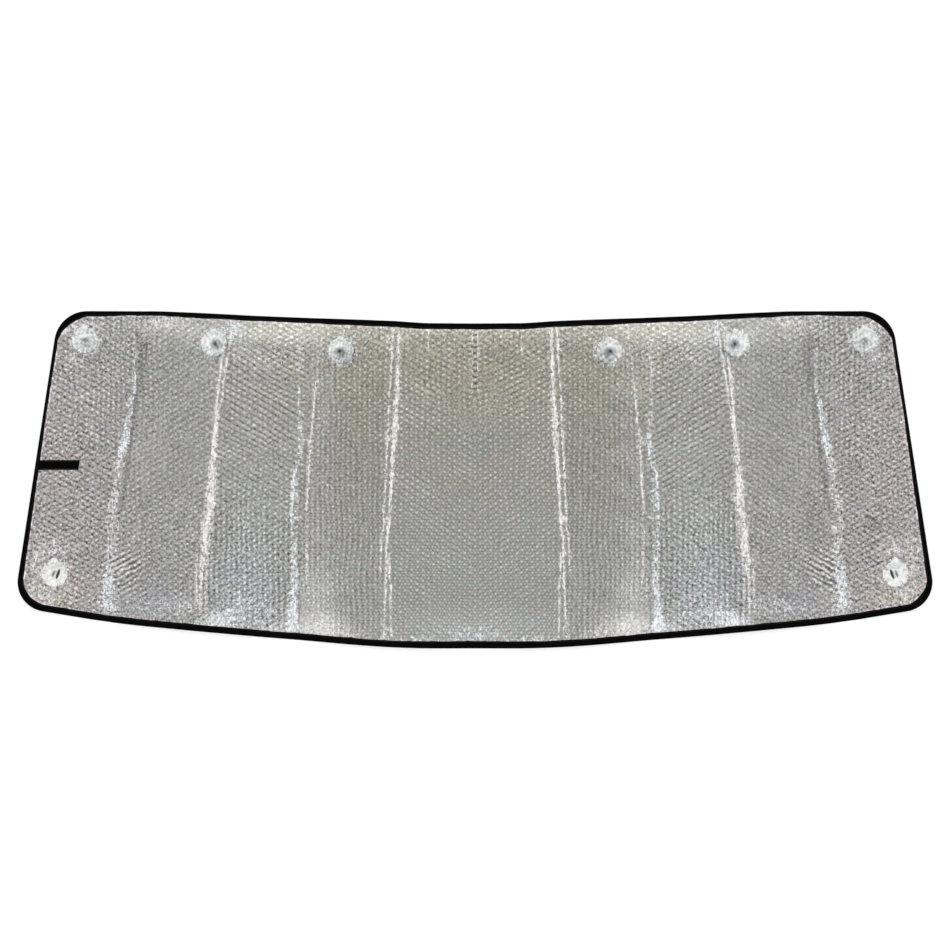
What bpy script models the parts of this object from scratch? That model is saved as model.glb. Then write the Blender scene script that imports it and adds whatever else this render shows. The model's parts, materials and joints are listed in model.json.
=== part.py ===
"""Accordion windscreen sunshade: a creased sheet of silver bubble laminate with a sewn edge
tape, a closure strap and eight clear suction cups that turn in holes through the sheet.

It lies unfolded on its back with the cups up. X runs along its width, Y towards its top
edge and Z up, with the origin on the floor under the middle of its outline.
"""

import math

import bmesh
import bpy
from mathutils import Matrix, Vector
from mathutils.geometry import delaunay_2d_cdt

# Outline of the finished shade, measured to its sharp corners
TOP_HALF_WIDTH = 0.728
BOTTOM_HALF_WIDTH = 0.8075
MIDDLE_HEIGHT = 0.5697
TOP_CORNER_RISE = 0.0213
BOTTOM_CORNER_RISE = 0.0738
TOP_CORNER_RADIUS = 0.058
BOTTOM_CORNER_RADIUS = 0.052

# How each long edge climbs from its flat middle to its corners: share of the half width,
# share of that edge's corner rise. The last stretch is straight.
TOP_EDGE_CLIMB = (
    (0.0, 0.0),
    (0.10, 0.0),
    (0.204, 0.18),
    (0.35, 0.39),
    (0.54, 0.62),
    (0.685, 0.876),
    (0.781, 1.0),
    (1.0, 1.0),
)
BOTTOM_EDGE_CLIMB = (
    (0.0, 0.0),
    (0.10, 0.006),
    (0.14, 0.018),
    (0.227, 0.066),
    (0.357, 0.178),
    (0.488, 0.300),
    (0.618, 0.434),
    (0.748, 0.567),
    (0.834, 0.692),
    (1.0, 1.0),
)

# Bubble laminate, crushed flat at the creases and where the tape is sewn on
LAMINATE_THICKNESS = 0.0030
CREASE_THICKNESS = 0.0012
SEWN_THICKNESS = 0.0016
CREASE_HALF_WIDTH = 0.0045
SEWN_MARGIN = 0.0015
CRUSH_RAMP = 0.0045

# Accordion relief of the opened shade: valley creases lie low, ridge creases stand up
RIDGE_HEIGHT = 0.014
SIDE_HEIGHT = 0.0085

# Creases of one half, from the middle outwards: share of the half width at the top edge,
# at the bottom edge, outward bow at half height, and whether the crease is a ridge
MIDDLE_CREASE = (0.0, 0.0, 0.0, False)
SIDE_CREASES = (
    (0.189, 0.187, 0.0, True),
    (0.392, 0.380, 0.0, False),
    (0.587, 0.605, 0.0, True),
    (0.793, 0.798, 0.010, False),
)

# Edge tape, folded round the laminate. Its visible width by the distance from the middle on
# the long edges and by height on the sides, and how much wider it is at the corners' middle
TAPE_THICKNESS = 0.0007
TOP_TAPE_WIDTHS = (
    (0.0, 0.0104),
    (0.24, 0.0104),
    (0.30, 0.0089),
    (0.50, 0.0092),
    (0.60, 0.0070),
    (0.66, 0.0095),
)
BOTTOM_TAPE_WIDTHS = ((0.0, 0.0128), (0.16, 0.0120), (0.60, 0.0118), (0.74, 0.0118))
SIDE_TAPE_WIDTHS = (
    (-0.16, 0.0096),
    (-0.05, 0.0082),
    (0.05, 0.0070),
    (0.12, 0.0058),
    (0.20, 0.0060),
)
TOP_CORNER_BULGE = 0.0046
BOTTOM_CORNER_BULGE = 0.0022

# Closure strap, its root sewn in under the tape on the left side
STRAP_WIDTH = 0.0170
STRAP_VISIBLE_LENGTH = 0.0690
STRAP_TUCK = 0.0040
STRAP_THICKNESS = 0.0016
STRAP_EDGE = 0.0004
STRAP_ABOVE_MIDDLE = 0.0260
TAPE_LIFT_MARGIN = 0.0012
TAPE_LIFT_RAMP = 0.0060

# Suction cups: share of the half width, distance in from the top or bottom edge
TOP_CUPS = ((0.9264, 0.0518), (0.6162, 0.0526), (0.3152, 0.0566))
BOTTOM_CUPS = ((0.9182, 0.0697),)
CUP_RADIUS = 0.0225
CUP_DEPTH = 0.0125
CUP_FLOOR = 0.0046
LIP_WIDTH = 0.0013
RIM_THICKNESS = 0.0012
HUB_RADIUS = 0.0066
HUB_HEIGHT = 0.0021
NECK_RADIUS = 0.0026
HEAD_RADIUS = 0.0080
HEAD_HEIGHT = 0.0032
TAB_LENGTH = 0.0055
TAB_HALF_WIDTH = 0.0048
SLIT_LENGTH = 0.0130
SLIT_LEAN = math.radians(14.0)

# Clearances
SEWN_GAP = 0.0003
SEAT_GAP = 0.0003
NECK_CLEARANCE = 0.0005

# How finely curved stretches are divided
CORNER_STEPS = 8
CUP_SEGMENTS = 28
BELL_STEPS = 4
HOLE_SEGMENTS = 14
FIELD_ROWS = 9
STATIONS_BETWEEN_CREASES = 2
SIDE_STATIONS = 5
STRAP_STATIONS = 4

# Heights that follow from the stack of tape, gap and laminate
TAPE_INNER_HEIGHT = SEWN_THICKNESS / 2 + SEWN_GAP
TAPE_OUTER_HEIGHT = TAPE_INNER_HEIGHT + TAPE_THICKNESS
VALLEY_HEIGHT = TAPE_OUTER_HEIGHT
STRAP_LIFT = STRAP_THICKNESS + SEWN_GAP
LAMINATE_DEPTH = TAPE_THICKNESS + SEWN_GAP

# Heights of the long edges' flat middles and of their sharp corners
BOTTOM_MIDDLE_Y = -(MIDDLE_HEIGHT + TOP_CORNER_RISE) / 2
TOP_MIDDLE_Y = BOTTOM_MIDDLE_Y + MIDDLE_HEIGHT
TOP_CORNER_Y = TOP_MIDDLE_Y + TOP_CORNER_RISE
BOTTOM_CORNER_Y = BOTTOM_MIDDLE_Y + BOTTOM_CORNER_RISE


def clear_scene():
    for item in list(bpy.data.objects):
        bpy.data.objects.remove(item, do_unlink=True)


def between(low, high, share):
    return low + (high - low) * share


def climb(points, share):
    """Height share of a long edge at a share of its half width, smooth through its points."""
    share = abs(share)
    last = len(points) - 2
    index = 0
    while index < last and share > points[index + 1][0]:
        index += 1
    (x0, y0), (x1, y1) = points[index], points[index + 1]
    t = (share - x0) / (x1 - x0)
    if index == last:
        return between(y0, y1, t)

    def secant(i):
        i = min(max(i, 0), last)
        return (points[i + 1][1] - points[i][1]) / (points[i + 1][0] - points[i][0])

    def slope(i):
        before, after = secant(i - 1), secant(i)
        if before * after <= 0:
            return 0.0
        return 2 * before * after / (before + after)

    span = x1 - x0
    start, end = slope(index) * span, slope(index + 1) * span
    return (
        y0 * (2 * t**3 - 3 * t**2 + 1)
        + start * (t**3 - 2 * t**2 + t)
        + y1 * (3 * t**2 - 2 * t**3)
        + end * (t**3 - t**2)
    )


def top_edge(x):
    return TOP_MIDDLE_Y + TOP_CORNER_RISE * climb(TOP_EDGE_CLIMB, x / TOP_HALF_WIDTH)


def bottom_edge(x):
    return BOTTOM_MIDDLE_Y + BOTTOM_CORNER_RISE * climb(BOTTOM_EDGE_CLIMB, x / BOTTOM_HALF_WIDTH)


def edge_lean(edge, x):
    """How much longer a step square to a long edge is than the same step along Y."""
    reach = 0.001
    return math.hypot(1.0, (edge(x + reach) - edge(x - reach)) / (2 * reach))


def side_x(y):
    """Half width of the outline's straight side, carried on past both corners."""
    share = (y - BOTTOM_CORNER_Y) / (TOP_CORNER_Y - BOTTOM_CORNER_Y)
    return between(BOTTOM_HALF_WIDTH, TOP_HALF_WIDTH, share)


SIDE_ANGLE = math.atan2(BOTTOM_HALF_WIDTH - TOP_HALF_WIDTH, TOP_CORNER_Y - BOTTOM_CORNER_Y)
SIDE_LEAN = 1 / math.cos(SIDE_ANGLE)


def width_along(widths, place):
    """The tape's visible width at a place along an edge."""
    for (before, width_before), (after, width_after) in zip(widths, widths[1:]):
        if place <= after:
            share = max(0.0, (place - before) / (after - before))
            return between(width_before, width_after, share)
    return widths[-1][1]


def crease_x(crease, y):
    """Half-width place of a crease at a height on the sheet."""
    top_share, bottom_share, bow, _ = crease
    share = (y - BOTTOM_MIDDLE_Y) / (TOP_CORNER_Y - BOTTOM_MIDDLE_Y)
    half_width = side_x(y)
    bowed = bow * (1 - (2 * share - 1) ** 2)
    return half_width * between(bottom_share, top_share, share) + bowed


def relief(x, y):
    """Height of the laminate's middle layer above the floor."""
    x = abs(x)
    low_x, low_z = 0.0, VALLEY_HEIGHT
    for crease in SIDE_CREASES:
        high_x = crease_x(crease, y)
        high_z = VALLEY_HEIGHT + (RIDGE_HEIGHT if crease[3] else 0.0)
        if x <= high_x:
            return between(low_z, high_z, (x - low_x) / (high_x - low_x))
        low_x, low_z = high_x, high_z
    return between(low_z, VALLEY_HEIGHT + SIDE_HEIGHT, (x - low_x) / (side_x(y) - low_x))


def crush_at_creases(x, y):
    """Laminate thickness where only the creases press on it."""
    x = abs(x)
    nearest = min(abs(x - crease_x(crease, y)) for crease in (MIDDLE_CREASE,) + SIDE_CREASES)
    share = min(nearest / CREASE_HALF_WIDTH, 1.0)
    return between(CREASE_THICKNESS, LAMINATE_THICKNESS, share)


def facing(x, y):
    """Unit normal of the sheet at a point."""
    reach = 0.004
    slope_x = (relief(x + reach, y) - relief(x - reach, y)) / (2 * reach)
    slope_y = (relief(x, y + reach) - relief(x, y - reach)) / (2 * reach)
    return Vector((-slope_x, -slope_y, 1.0)).normalized()


class EdgeStation:
    """A place on the top or bottom edge, followed inwards along a line across the sheet."""

    def __init__(self, edge, inward, line, tape_widths):
        self.edge = edge
        self.inward = inward
        self.line = line
        self.tape_width = width_along(tape_widths, self.at(0.0)[0])
        self.on_side = False

    def at(self, depth):
        x = self.line(self.edge(0.0))
        for _ in range(4):
            y = self.edge(x) + self.inward * depth * edge_lean(self.edge, x)
            x = self.line(y)
        return x, y


class ArcStation:
    """A place on a rounded corner, followed inwards towards the corner's centre."""

    def __init__(self, centre, radius, angle, tape_width):
        self.centre = centre
        self.radius = radius
        self.angle = angle
        self.tape_width = tape_width
        self.on_side = False

    def at(self, depth):
        reach = self.radius - depth
        return (
            self.centre[0] + reach * math.cos(self.angle),
            self.centre[1] + reach * math.sin(self.angle),
        )


class SideStation:
    """A place on the straight side, followed inwards square to it."""

    def __init__(self, y):
        self.y = y
        self.tape_width = width_along(SIDE_TAPE_WIDTHS, y)
        self.on_side = True

    def at(self, depth):
        return (
            side_x(self.y) - depth * math.cos(SIDE_ANGLE),
            self.y - depth * math.sin(SIDE_ANGLE),
        )


class MirroredStation:
    """The same place on the left half."""

    def __init__(self, station):
        self.station = station
        self.tape_width = station.tape_width
        self.on_side = station.on_side

    def at(self, depth):
        x, y = self.station.at(depth)
        return -x, y


def corner_arc(edge, corner_x, radius, inward):
    """Centre of a rounded corner and its angles, first on the long edge, then on the side."""
    reach = 0.01
    slope = (edge(corner_x) - edge(corner_x - reach)) / reach
    lean = math.hypot(1.0, slope)
    corner_y = edge(corner_x)
    side_slope = (side_x(1.0) - side_x(0.0))
    # The centre lies one radius inside both straight lines
    centre_y = corner_y
    for _ in range(40):
        centre_x = side_x(centre_y) - radius * SIDE_LEAN
        centre_y = corner_y + slope * (centre_x - corner_x) + inward * radius * lean
    edge_angle = math.atan2(-inward, inward * slope)
    side_angle = math.atan2(-side_slope, 1.0)
    return (centre_x, centre_y), edge_angle, side_angle


def long_edge_stations(edge, inward, last_x, tape_widths):
    """Stations of a long edge's right half, from the middle out, three at each crease."""
    stations = []

    def add(line):
        stations.append(EdgeStation(edge, inward, line, tape_widths))

    add(lambda y: 0.0)
    add(lambda y: CREASE_HALF_WIDTH)
    before = MIDDLE_CREASE
    for crease in SIDE_CREASES:
        for step in range(1, STATIONS_BETWEEN_CREASES + 1):
            share = step / (STATIONS_BETWEEN_CREASES + 1)
            add(lambda y, a=before, b=crease, s=share: between(crease_x(a, y), crease_x(b, y), s))
        for offset in (-CREASE_HALF_WIDTH, 0.0, CREASE_HALF_WIDTH):
            add(lambda y, c=crease, o=offset: crease_x(c, y) + o)
        before = crease
    start_x = stations[-1].at(0.0)[0]
    for step in range(1, STATIONS_BETWEEN_CREASES + 1):
        share = step / (STATIONS_BETWEEN_CREASES + 1)
        place = between(start_x, last_x, share)
        add(lambda y, x=place: x)
    return stations


def corner_stations(arc, radius, first_width, last_width, bulge):
    """Stations round a corner, from one angle to the other, the tape widest at its middle."""
    centre, first_angle, last_angle = arc
    stations = []
    for step in range(CORNER_STEPS + 1):
        share = step / CORNER_STEPS
        width = between(first_width, last_width, share) + bulge * math.sin(math.pi * share)
        angle = between(first_angle, last_angle, share)
        stations.append(ArcStation(centre, radius, angle, width))
    return stations


def tape_width_at_strap():
    return width_along(SIDE_TAPE_WIDTHS, STRAP_ABOVE_MIDDLE)


def strap_reach():
    """Heights on the outline between which the tape takes in the strap's root.

    The root lies a tape's width inside the leaning side, so square to the side it comes from
    a little higher up.
    """
    half = STRAP_WIDTH / 2 + TAPE_LIFT_MARGIN
    drift = tape_width_at_strap() * math.sin(SIDE_ANGLE)
    return STRAP_ABOVE_MIDDLE - half, STRAP_ABOVE_MIDDLE + half + drift


def half_outline():
    """Stations of the right half, from the bottom edge's middle round to the top edge's."""
    low_centre, low_edge, low_side = corner_arc(
        bottom_edge, BOTTOM_HALF_WIDTH, BOTTOM_CORNER_RADIUS, 1
    )
    high_centre, high_edge, high_side = corner_arc(
        top_edge, TOP_HALF_WIDTH, TOP_CORNER_RADIUS, -1
    )
    low_y = low_centre[1] + BOTTOM_CORNER_RADIUS * math.sin(low_side)
    high_y = high_centre[1] + TOP_CORNER_RADIUS * math.sin(high_side)

    stations = long_edge_stations(bottom_edge, 1, low_centre[0], BOTTOM_TAPE_WIDTHS)
    stations += corner_stations(
        (low_centre, low_edge, low_side),
        BOTTOM_CORNER_RADIUS,
        BOTTOM_TAPE_WIDTHS[-1][1],
        width_along(SIDE_TAPE_WIDTHS, low_y),
        BOTTOM_CORNER_BULGE,
    )
    strap_low, strap_high = strap_reach()
    side_places = [strap_low - TAPE_LIFT_RAMP, strap_low, strap_high, strap_high + TAPE_LIFT_RAMP]
    for step in range(1, SIDE_STATIONS + 1):
        y = between(low_y, high_y, step / (SIDE_STATIONS + 1))
        if not strap_low - 2 * TAPE_LIFT_RAMP < y < strap_high + 2 * TAPE_LIFT_RAMP:
            side_places.append(y)
    stations += [SideStation(y) for y in sorted(side_places)]
    stations += corner_stations(
        (high_centre, high_side, high_edge),
        TOP_CORNER_RADIUS,
        width_along(SIDE_TAPE_WIDTHS, high_y),
        TOP_TAPE_WIDTHS[-1][1],
        TOP_CORNER_BULGE,
    )
    top = long_edge_stations(top_edge, -1, high_centre[0], TOP_TAPE_WIDTHS)
    stations.extend(reversed(top))
    return stations


def outline():
    """All stations, anticlockwise from the bottom edge's middle."""
    right = half_outline()
    left = [MirroredStation(station) for station in reversed(right[1:-1])]
    return right + left


def tape_lift(station):
    """How far the tape's front leg rises to take in the strap's root."""
    x, y = station.at(0.0)
    if not station.on_side or x > 0:
        return 0.0
    low, high = strap_reach()
    beyond = max(low - y, y - high)
    share = min(max(beyond / TAPE_LIFT_RAMP, 0.0), 1.0)
    return STRAP_LIFT * (1 - share)


def material(name, colour, roughness, metallic=0.0, alpha=1.0, transmission=0.0):
    made = bpy.data.materials.new(name)
    made.use_nodes = True
    shader = made.node_tree.nodes["Principled BSDF"]
    shader.inputs["Base Color"].default_value = (*colour, 1.0)
    shader.inputs["Roughness"].default_value = roughness
    shader.inputs["Metallic"].default_value = metallic
    shader.inputs["Alpha"].default_value = alpha
    shader.inputs["Transmission Weight"].default_value = transmission
    return made


def add_object(name, mesh_data, finish, place=None):
    mesh = bpy.data.meshes.new(name)
    mesh_data.normal_update()
    mesh_data.to_mesh(mesh)
    mesh_data.free()
    mesh.materials.append(finish)
    item = bpy.data.objects.new(name, mesh)
    bpy.context.scene.collection.objects.link(item)
    if place is not None:
        item.matrix_world = place
    return item


def ring_faces(mesh, rings, closed):
    """Skins between neighbouring rings of vertices; every ring is a closed loop."""
    count = len(rings)
    for i in range(count if closed else count - 1):
        here, there = rings[i], rings[(i + 1) % count]
        for j in range(len(here)):
            k = (j + 1) % len(here)
            mesh.faces.new((here[j], there[j], there[k], here[k]))


def cup_places():
    """Name, x, y and whether the hole is a slit, for each suction cup."""
    places = []
    for cups, edge, inward, slit in (
        (TOP_CUPS, top_edge, -1, False),
        (BOTTOM_CUPS, bottom_edge, 1, True),
    ):
        for side in (-1, 1):
            row = cups if side < 0 else tuple(reversed(cups))
            for share, inset in row:
                x = share * side_x(edge(share * TOP_HALF_WIDTH) + inward * inset)
                y = edge(x) + inward * inset
                places.append((f"suction_cup_{len(places) + 1}", side * x, y, slit))
    return places


def hole_outline(x, y, slit):
    """The neck's hole: round, or a slit held open as a pointed oval by the neck."""
    half_width = NECK_RADIUS + NECK_CLEARANCE
    points = []
    for step in range(HOLE_SEGMENTS):
        angle = 2 * math.pi * step / HOLE_SEGMENTS
        across, along = half_width * math.cos(angle), half_width * math.sin(angle)
        if slit:
            along *= SLIT_LENGTH / (2 * half_width)
            across *= 1.0 - 0.25 * abs(math.sin(angle))
            lean = -math.copysign(SLIT_LEAN, x)
            across, along = (
                across * math.cos(lean) + along * math.sin(lean),
                along * math.cos(lean) - across * math.sin(lean),
            )
        points.append((x + across, y + along))
    return points


def inside(point, loop):
    """Whether a point lies within a closed outline."""
    x, y = point
    found = False
    for i, (x0, y0) in enumerate(loop):
        x1, y1 = loop[i - 1]
        if (y0 > y) != (y1 > y) and x < x0 + (y - y0) * (x1 - x0) / (y1 - y0):
            found = not found
    return found


class FlatPattern:
    """The laminate's blank before folding: points with their crushed thickness, and lines."""

    def __init__(self):
        self.points = []
        self.thickness = []
        self.lines = []

    def point(self, x, y, thickness):
        self.points.append(Vector((x, y)))
        self.thickness.append(thickness)
        return len(self.points) - 1

    def chain(self, indices, closed=False):
        for a, b in zip(indices, indices[1:]):
            self.lines.append((a, b))
        if closed:
            self.lines.append((indices[-1], indices[0]))


def laminate_thickness(x, y, crush):
    """Full or creased thickness, pressed down by a share towards the sewn edge."""
    return between(crush_at_creases(x, y), min(SEWN_THICKNESS, crush_at_creases(x, y)), crush)


def crease_lines(stations):
    """Index pairs of the bottom and top stations that one line across the sheet joins."""
    steps = 2 + len(SIDE_CREASES) * (STATIONS_BETWEEN_CREASES + 3)
    half = len(half_outline())
    pairs = []
    for i in range(steps):
        low, high = i, half - 1 - i
        pairs.append((low, high))
        if i:
            pairs.append((len(stations) - low, len(stations) - high))
    return pairs


def flat_pattern(stations):
    """Blank with its edge, sewn line, crushed ramp, creases, field rows and neck holes."""
    pattern = FlatPattern()
    loops = []
    for extra, crush in ((None, 1.0), (SEWN_MARGIN, 1.0), (SEWN_MARGIN + CRUSH_RAMP, 0.0)):
        loop = []
        for station in stations:
            depth = LAMINATE_DEPTH if extra is None else station.tape_width + extra
            x, y = station.at(depth)
            loop.append(pattern.point(x, y, laminate_thickness(x, y, crush)))
        pattern.chain(loop, closed=True)
        loops.append(loop)

    holes = [hole_outline(x, y, slit) for _, x, y, slit in cup_places()]
    seats = [(x, y) for _, x, y, _ in cup_places()]
    for loop in holes:
        pattern.chain([pattern.point(x, y, LAMINATE_THICKNESS) for x, y in loop], closed=True)

    keep_clear = HEAD_RADIUS
    for low, high in crease_lines(stations):
        start, end = stations[low], stations[high]
        line = start.line if isinstance(start, EdgeStation) else start.station.line
        mirrored = -1 if isinstance(start, MirroredStation) else 1
        y0 = pattern.points[loops[2][low]].y
        y1 = pattern.points[loops[2][high]].y
        rows = []
        for row in range(1, FIELD_ROWS + 1):
            y = between(y0, y1, row / (FIELD_ROWS + 1))
            x = mirrored * line(y)
            if all(math.hypot(x - sx, y - sy) > keep_clear for sx, sy in seats):
                rows.append(pattern.point(x, y, laminate_thickness(x, y, 0.0)))
        chain = [loop[low] for loop in loops] + rows + [loop[high] for loop in reversed(loops)]
        pattern.chain(chain)
    rim = [pattern.points[i][:] for i in loops[0]]
    return pattern, rim, holes


def build_laminate(stations, finish):
    """Folds the blank and gives it its thickness, as one closed skin."""
    pattern, rim, holes = flat_pattern(stations)
    flat, _, faces, sources, _, _ = delaunay_2d_cdt(
        pattern.points, pattern.lines, [], 1, 1e-7, True
    )
    mesh = bmesh.new()
    layers = {1: [], -1: []}
    for index, place in enumerate(flat):
        x, y = place
        if sources[index]:
            thickness = pattern.thickness[sources[index][0]]
        else:
            thickness = crush_at_creases(x, y)
        for side in (1, -1):
            z = relief(x, y) + side * thickness / 2
            layers[side].append(mesh.verts.new((x, y, z)))
    walls = {}
    for face in faces:
        corners = [flat[i] for i in face]
        middle = (sum(p.x for p in corners) / len(face), sum(p.y for p in corners) / len(face))
        if not inside(middle, rim) or any(inside(middle, loop) for loop in holes):
            continue
        area = sum(
            a.x * b.y - b.x * a.y for a, b in zip(corners, corners[1:] + corners[:1])
        )
        ordered = list(face) if area > 0 else list(reversed(face))
        mesh.faces.new([layers[1][i] for i in ordered])
        mesh.faces.new([layers[-1][i] for i in reversed(ordered)])
        for a, b in zip(ordered, ordered[1:] + ordered[:1]):
            if (b, a) in walls:
                del walls[(b, a)]
            else:
                walls[(a, b)] = True
    for a, b in walls:
        mesh.faces.new((layers[1][b], layers[1][a], layers[-1][a], layers[-1][b]))
    loose = [vertex for vertex in mesh.verts if not vertex.link_faces]
    bmesh.ops.delete(mesh, geom=loose, context="VERTS")
    return add_object("foil_panel", mesh, finish)


def tape_section(width, lift):
    """The tape's U-shaped section: depth from the shade's edge, height from the mid layer."""
    inner, outer = TAPE_INNER_HEIGHT, TAPE_OUTER_HEIGHT
    shoulder = TAPE_THICKNESS + SEWN_GAP
    return (
        (width, inner + lift),
        (width, outer + lift),
        (shoulder, outer + lift),
        (0.0, inner * 0.55),
        (0.0, -inner * 0.55),
        (shoulder, -outer),
        (width, -outer),
        (width, -inner),
        (TAPE_THICKNESS, -inner),
        (TAPE_THICKNESS, inner + lift),
    )


def build_tape(stations, finish):
    mesh = bmesh.new()
    rings = []
    for station in stations:
        ring = []
        for depth, height in tape_section(station.tape_width, tape_lift(station)):
            x, y = station.at(depth)
            ring.append(mesh.verts.new((x, y, relief(x, y) + height)))
        rings.append(ring)
    ring_faces(mesh, rings, closed=True)
    bmesh.ops.recalc_face_normals(mesh, faces=mesh.faces)
    return add_object("edge_binding", mesh, finish)


def front_of_laminate(depth, x, y, tape_width):
    """Height of the laminate's front face at a depth from the side."""
    ramp_start = tape_width + SEWN_MARGIN
    crush = 1.0 - min(max((depth - ramp_start) / CRUSH_RAMP, 0.0), 1.0)
    return relief(x, y) + laminate_thickness(x, y, crush) / 2


def build_strap(finish):
    """A flat band from under the tape to its free end, cut parallel to the shade's side."""
    tape_width = tape_width_at_strap()
    ramp_start = tape_width + SEWN_MARGIN
    ramp_end = ramp_start + CRUSH_RAMP
    free_end = tape_width + STRAP_VISIBLE_LENGTH
    depths = [tape_width - STRAP_TUCK, ramp_start, ramp_end]
    depths += [between(ramp_end, free_end, i / STRAP_STATIONS) for i in range(1, STRAP_STATIONS + 1)]
    half = STRAP_WIDTH / 2
    section = (
        (-half, 0.0),
        (half, 0.0),
        (half, STRAP_THICKNESS - STRAP_EDGE),
        (half - STRAP_EDGE, STRAP_THICKNESS),
        (-half + STRAP_EDGE, STRAP_THICKNESS),
        (-half, STRAP_THICKNESS - STRAP_EDGE),
    )
    mesh = bmesh.new()
    rings = []
    for depth in depths:
        ring = []
        for across, height in section:
            y = STRAP_ABOVE_MIDDLE + across
            x = -(side_x(y) - depth)
            base = front_of_laminate(depth, x, y, tape_width) + SEWN_GAP
            ring.append(mesh.verts.new((x, y, base + height)))
        rings.append(ring)
    ring_faces(mesh, rings, closed=False)
    mesh.faces.new(rings[0])
    mesh.faces.new(list(reversed(rings[-1])))
    bmesh.ops.recalc_face_normals(mesh, faces=mesh.faces)
    return add_object("closure_strap", mesh, finish)


def cup_angles():
    """Directions round a cup, closer together at its pull tab, which points along +Y."""
    tab = math.asin(TAB_HALF_WIDTH / CUP_RADIUS)
    fine = [math.pi / 2 + tab * share for share in (-1.0, -0.85, -0.5, 0.0, 0.5, 0.85, 1.0)]
    coarse = []
    count = CUP_SEGMENTS - len(fine) + 1
    for step in range(1, count):
        coarse.append(math.pi / 2 + tab + (2 * math.pi - 2 * tab) * step / count)
    return fine + coarse, tab


def tab_reach(angle, tab):
    """How far the rim stands out as the pull tab at an angle."""
    away = abs(math.remainder(angle - math.pi / 2, 2 * math.pi)) / tab
    if away >= 1.0 - 1e-6:
        return 0.0
    return TAB_LENGTH * math.sqrt(1.0 - away**2)


def cup_profile():
    """Radius, height and share of the tab, from under the head up over the rim to the floor."""
    head_top = -(LAMINATE_THICKNESS + SEAT_GAP)
    head_bottom = head_top - HEAD_HEIGHT
    hub_top = SEAT_GAP + HUB_HEIGHT
    rim_low = CUP_DEPTH - RIM_THICKNESS
    profile = [
        (HEAD_RADIUS * 0.62, head_bottom, 0.0),
        (HEAD_RADIUS * 0.93, between(head_bottom, head_top, 0.40), 0.0),
        (HEAD_RADIUS, head_top, 0.0),
        (NECK_RADIUS, head_top, 0.0),
        (NECK_RADIUS, SEAT_GAP, 0.0),
        (HUB_RADIUS, SEAT_GAP, 0.0),
    ]
    for step in range(BELL_STEPS + 1):
        share = step / BELL_STEPS
        radius = between(HUB_RADIUS, CUP_RADIUS, share)
        profile.append((radius, between(hub_top, rim_low, share**1.5), float(share == 1.0)))
    profile.append((CUP_RADIUS, CUP_DEPTH, 1.0))
    lip = CUP_RADIUS - LIP_WIDTH
    for step in range(BELL_STEPS):
        share = 1 - step / BELL_STEPS
        profile.append((lip * share, between(CUP_FLOOR, CUP_DEPTH, share**2.1), 0.0))
    return profile, head_bottom


def build_cup(name, x, y, finish):
    """One moulding: head, neck and hub on the axis, then the bell with its lip and tab."""
    profile, head_bottom = cup_profile()
    angles, tab = cup_angles()
    mesh = bmesh.new()
    rings = []
    for radius, height, on_tab in profile:
        ring = []
        for angle in angles:
            reach = radius + on_tab * tab_reach(angle, tab)
            ring.append(mesh.verts.new((reach * math.cos(angle), reach * math.sin(angle), height)))
        rings.append(ring)
    ring_faces(mesh, rings, closed=False)
    for ring, height in ((rings[0], head_bottom), (rings[-1], CUP_FLOOR)):
        centre = mesh.verts.new((0.0, 0.0, height))
        for j in range(len(ring)):
            mesh.faces.new((ring[j], ring[(j + 1) % len(ring)], centre))
    bmesh.ops.recalc_face_normals(mesh, faces=mesh.faces)
    axis = facing(x, y)
    seat = Vector((x, y, relief(x, y))) + axis * LAMINATE_THICKNESS / 2
    turn = Vector((0.0, 0.0, 1.0)).rotation_difference(axis).to_matrix().to_4x4()
    item = add_object(name, mesh, finish, Matrix.Translation(seat) @ turn)
    item.data.shade_smooth()
    item.data.set_sharp_from_angle(angle=math.radians(35.0))
    return item


def main():
    clear_scene()
    foil = material("silver_laminate", (0.62, 0.61, 0.59), 0.30, metallic=1.0)
    tape = material("black_tape", (0.012, 0.012, 0.013), 0.85)
    webbing = material("black_webbing", (0.010, 0.010, 0.011), 0.90)
    clear_vinyl = material("clear_vinyl", (0.86, 0.90, 0.90), 0.12, alpha=0.5, transmission=0.6)
    stations = outline()
    build_laminate(stations, foil)
    build_tape(stations, tape)
    build_strap(webbing)
    for name, x, y, _ in cup_places():
        build_cup(name, x, y, clear_vinyl)


main()
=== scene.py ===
"""Looks of the accordion windscreen sunshade.

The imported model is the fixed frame. The plain sheet, tape, strap and cups give way to
bubbled film with its fold welts and crumples, woven tape and strap with their stitching,
and moulded clear cups. Lengths are metres, or millimetres where a comment says so, in the
part's own frame: X along the width, Y towards the top edge, Z up.
"""

import json
import math

import bpy
import numpy as np
from mathutils import Matrix, Vector
from mathutils.geometry import delaunay_2d_cdt


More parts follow.
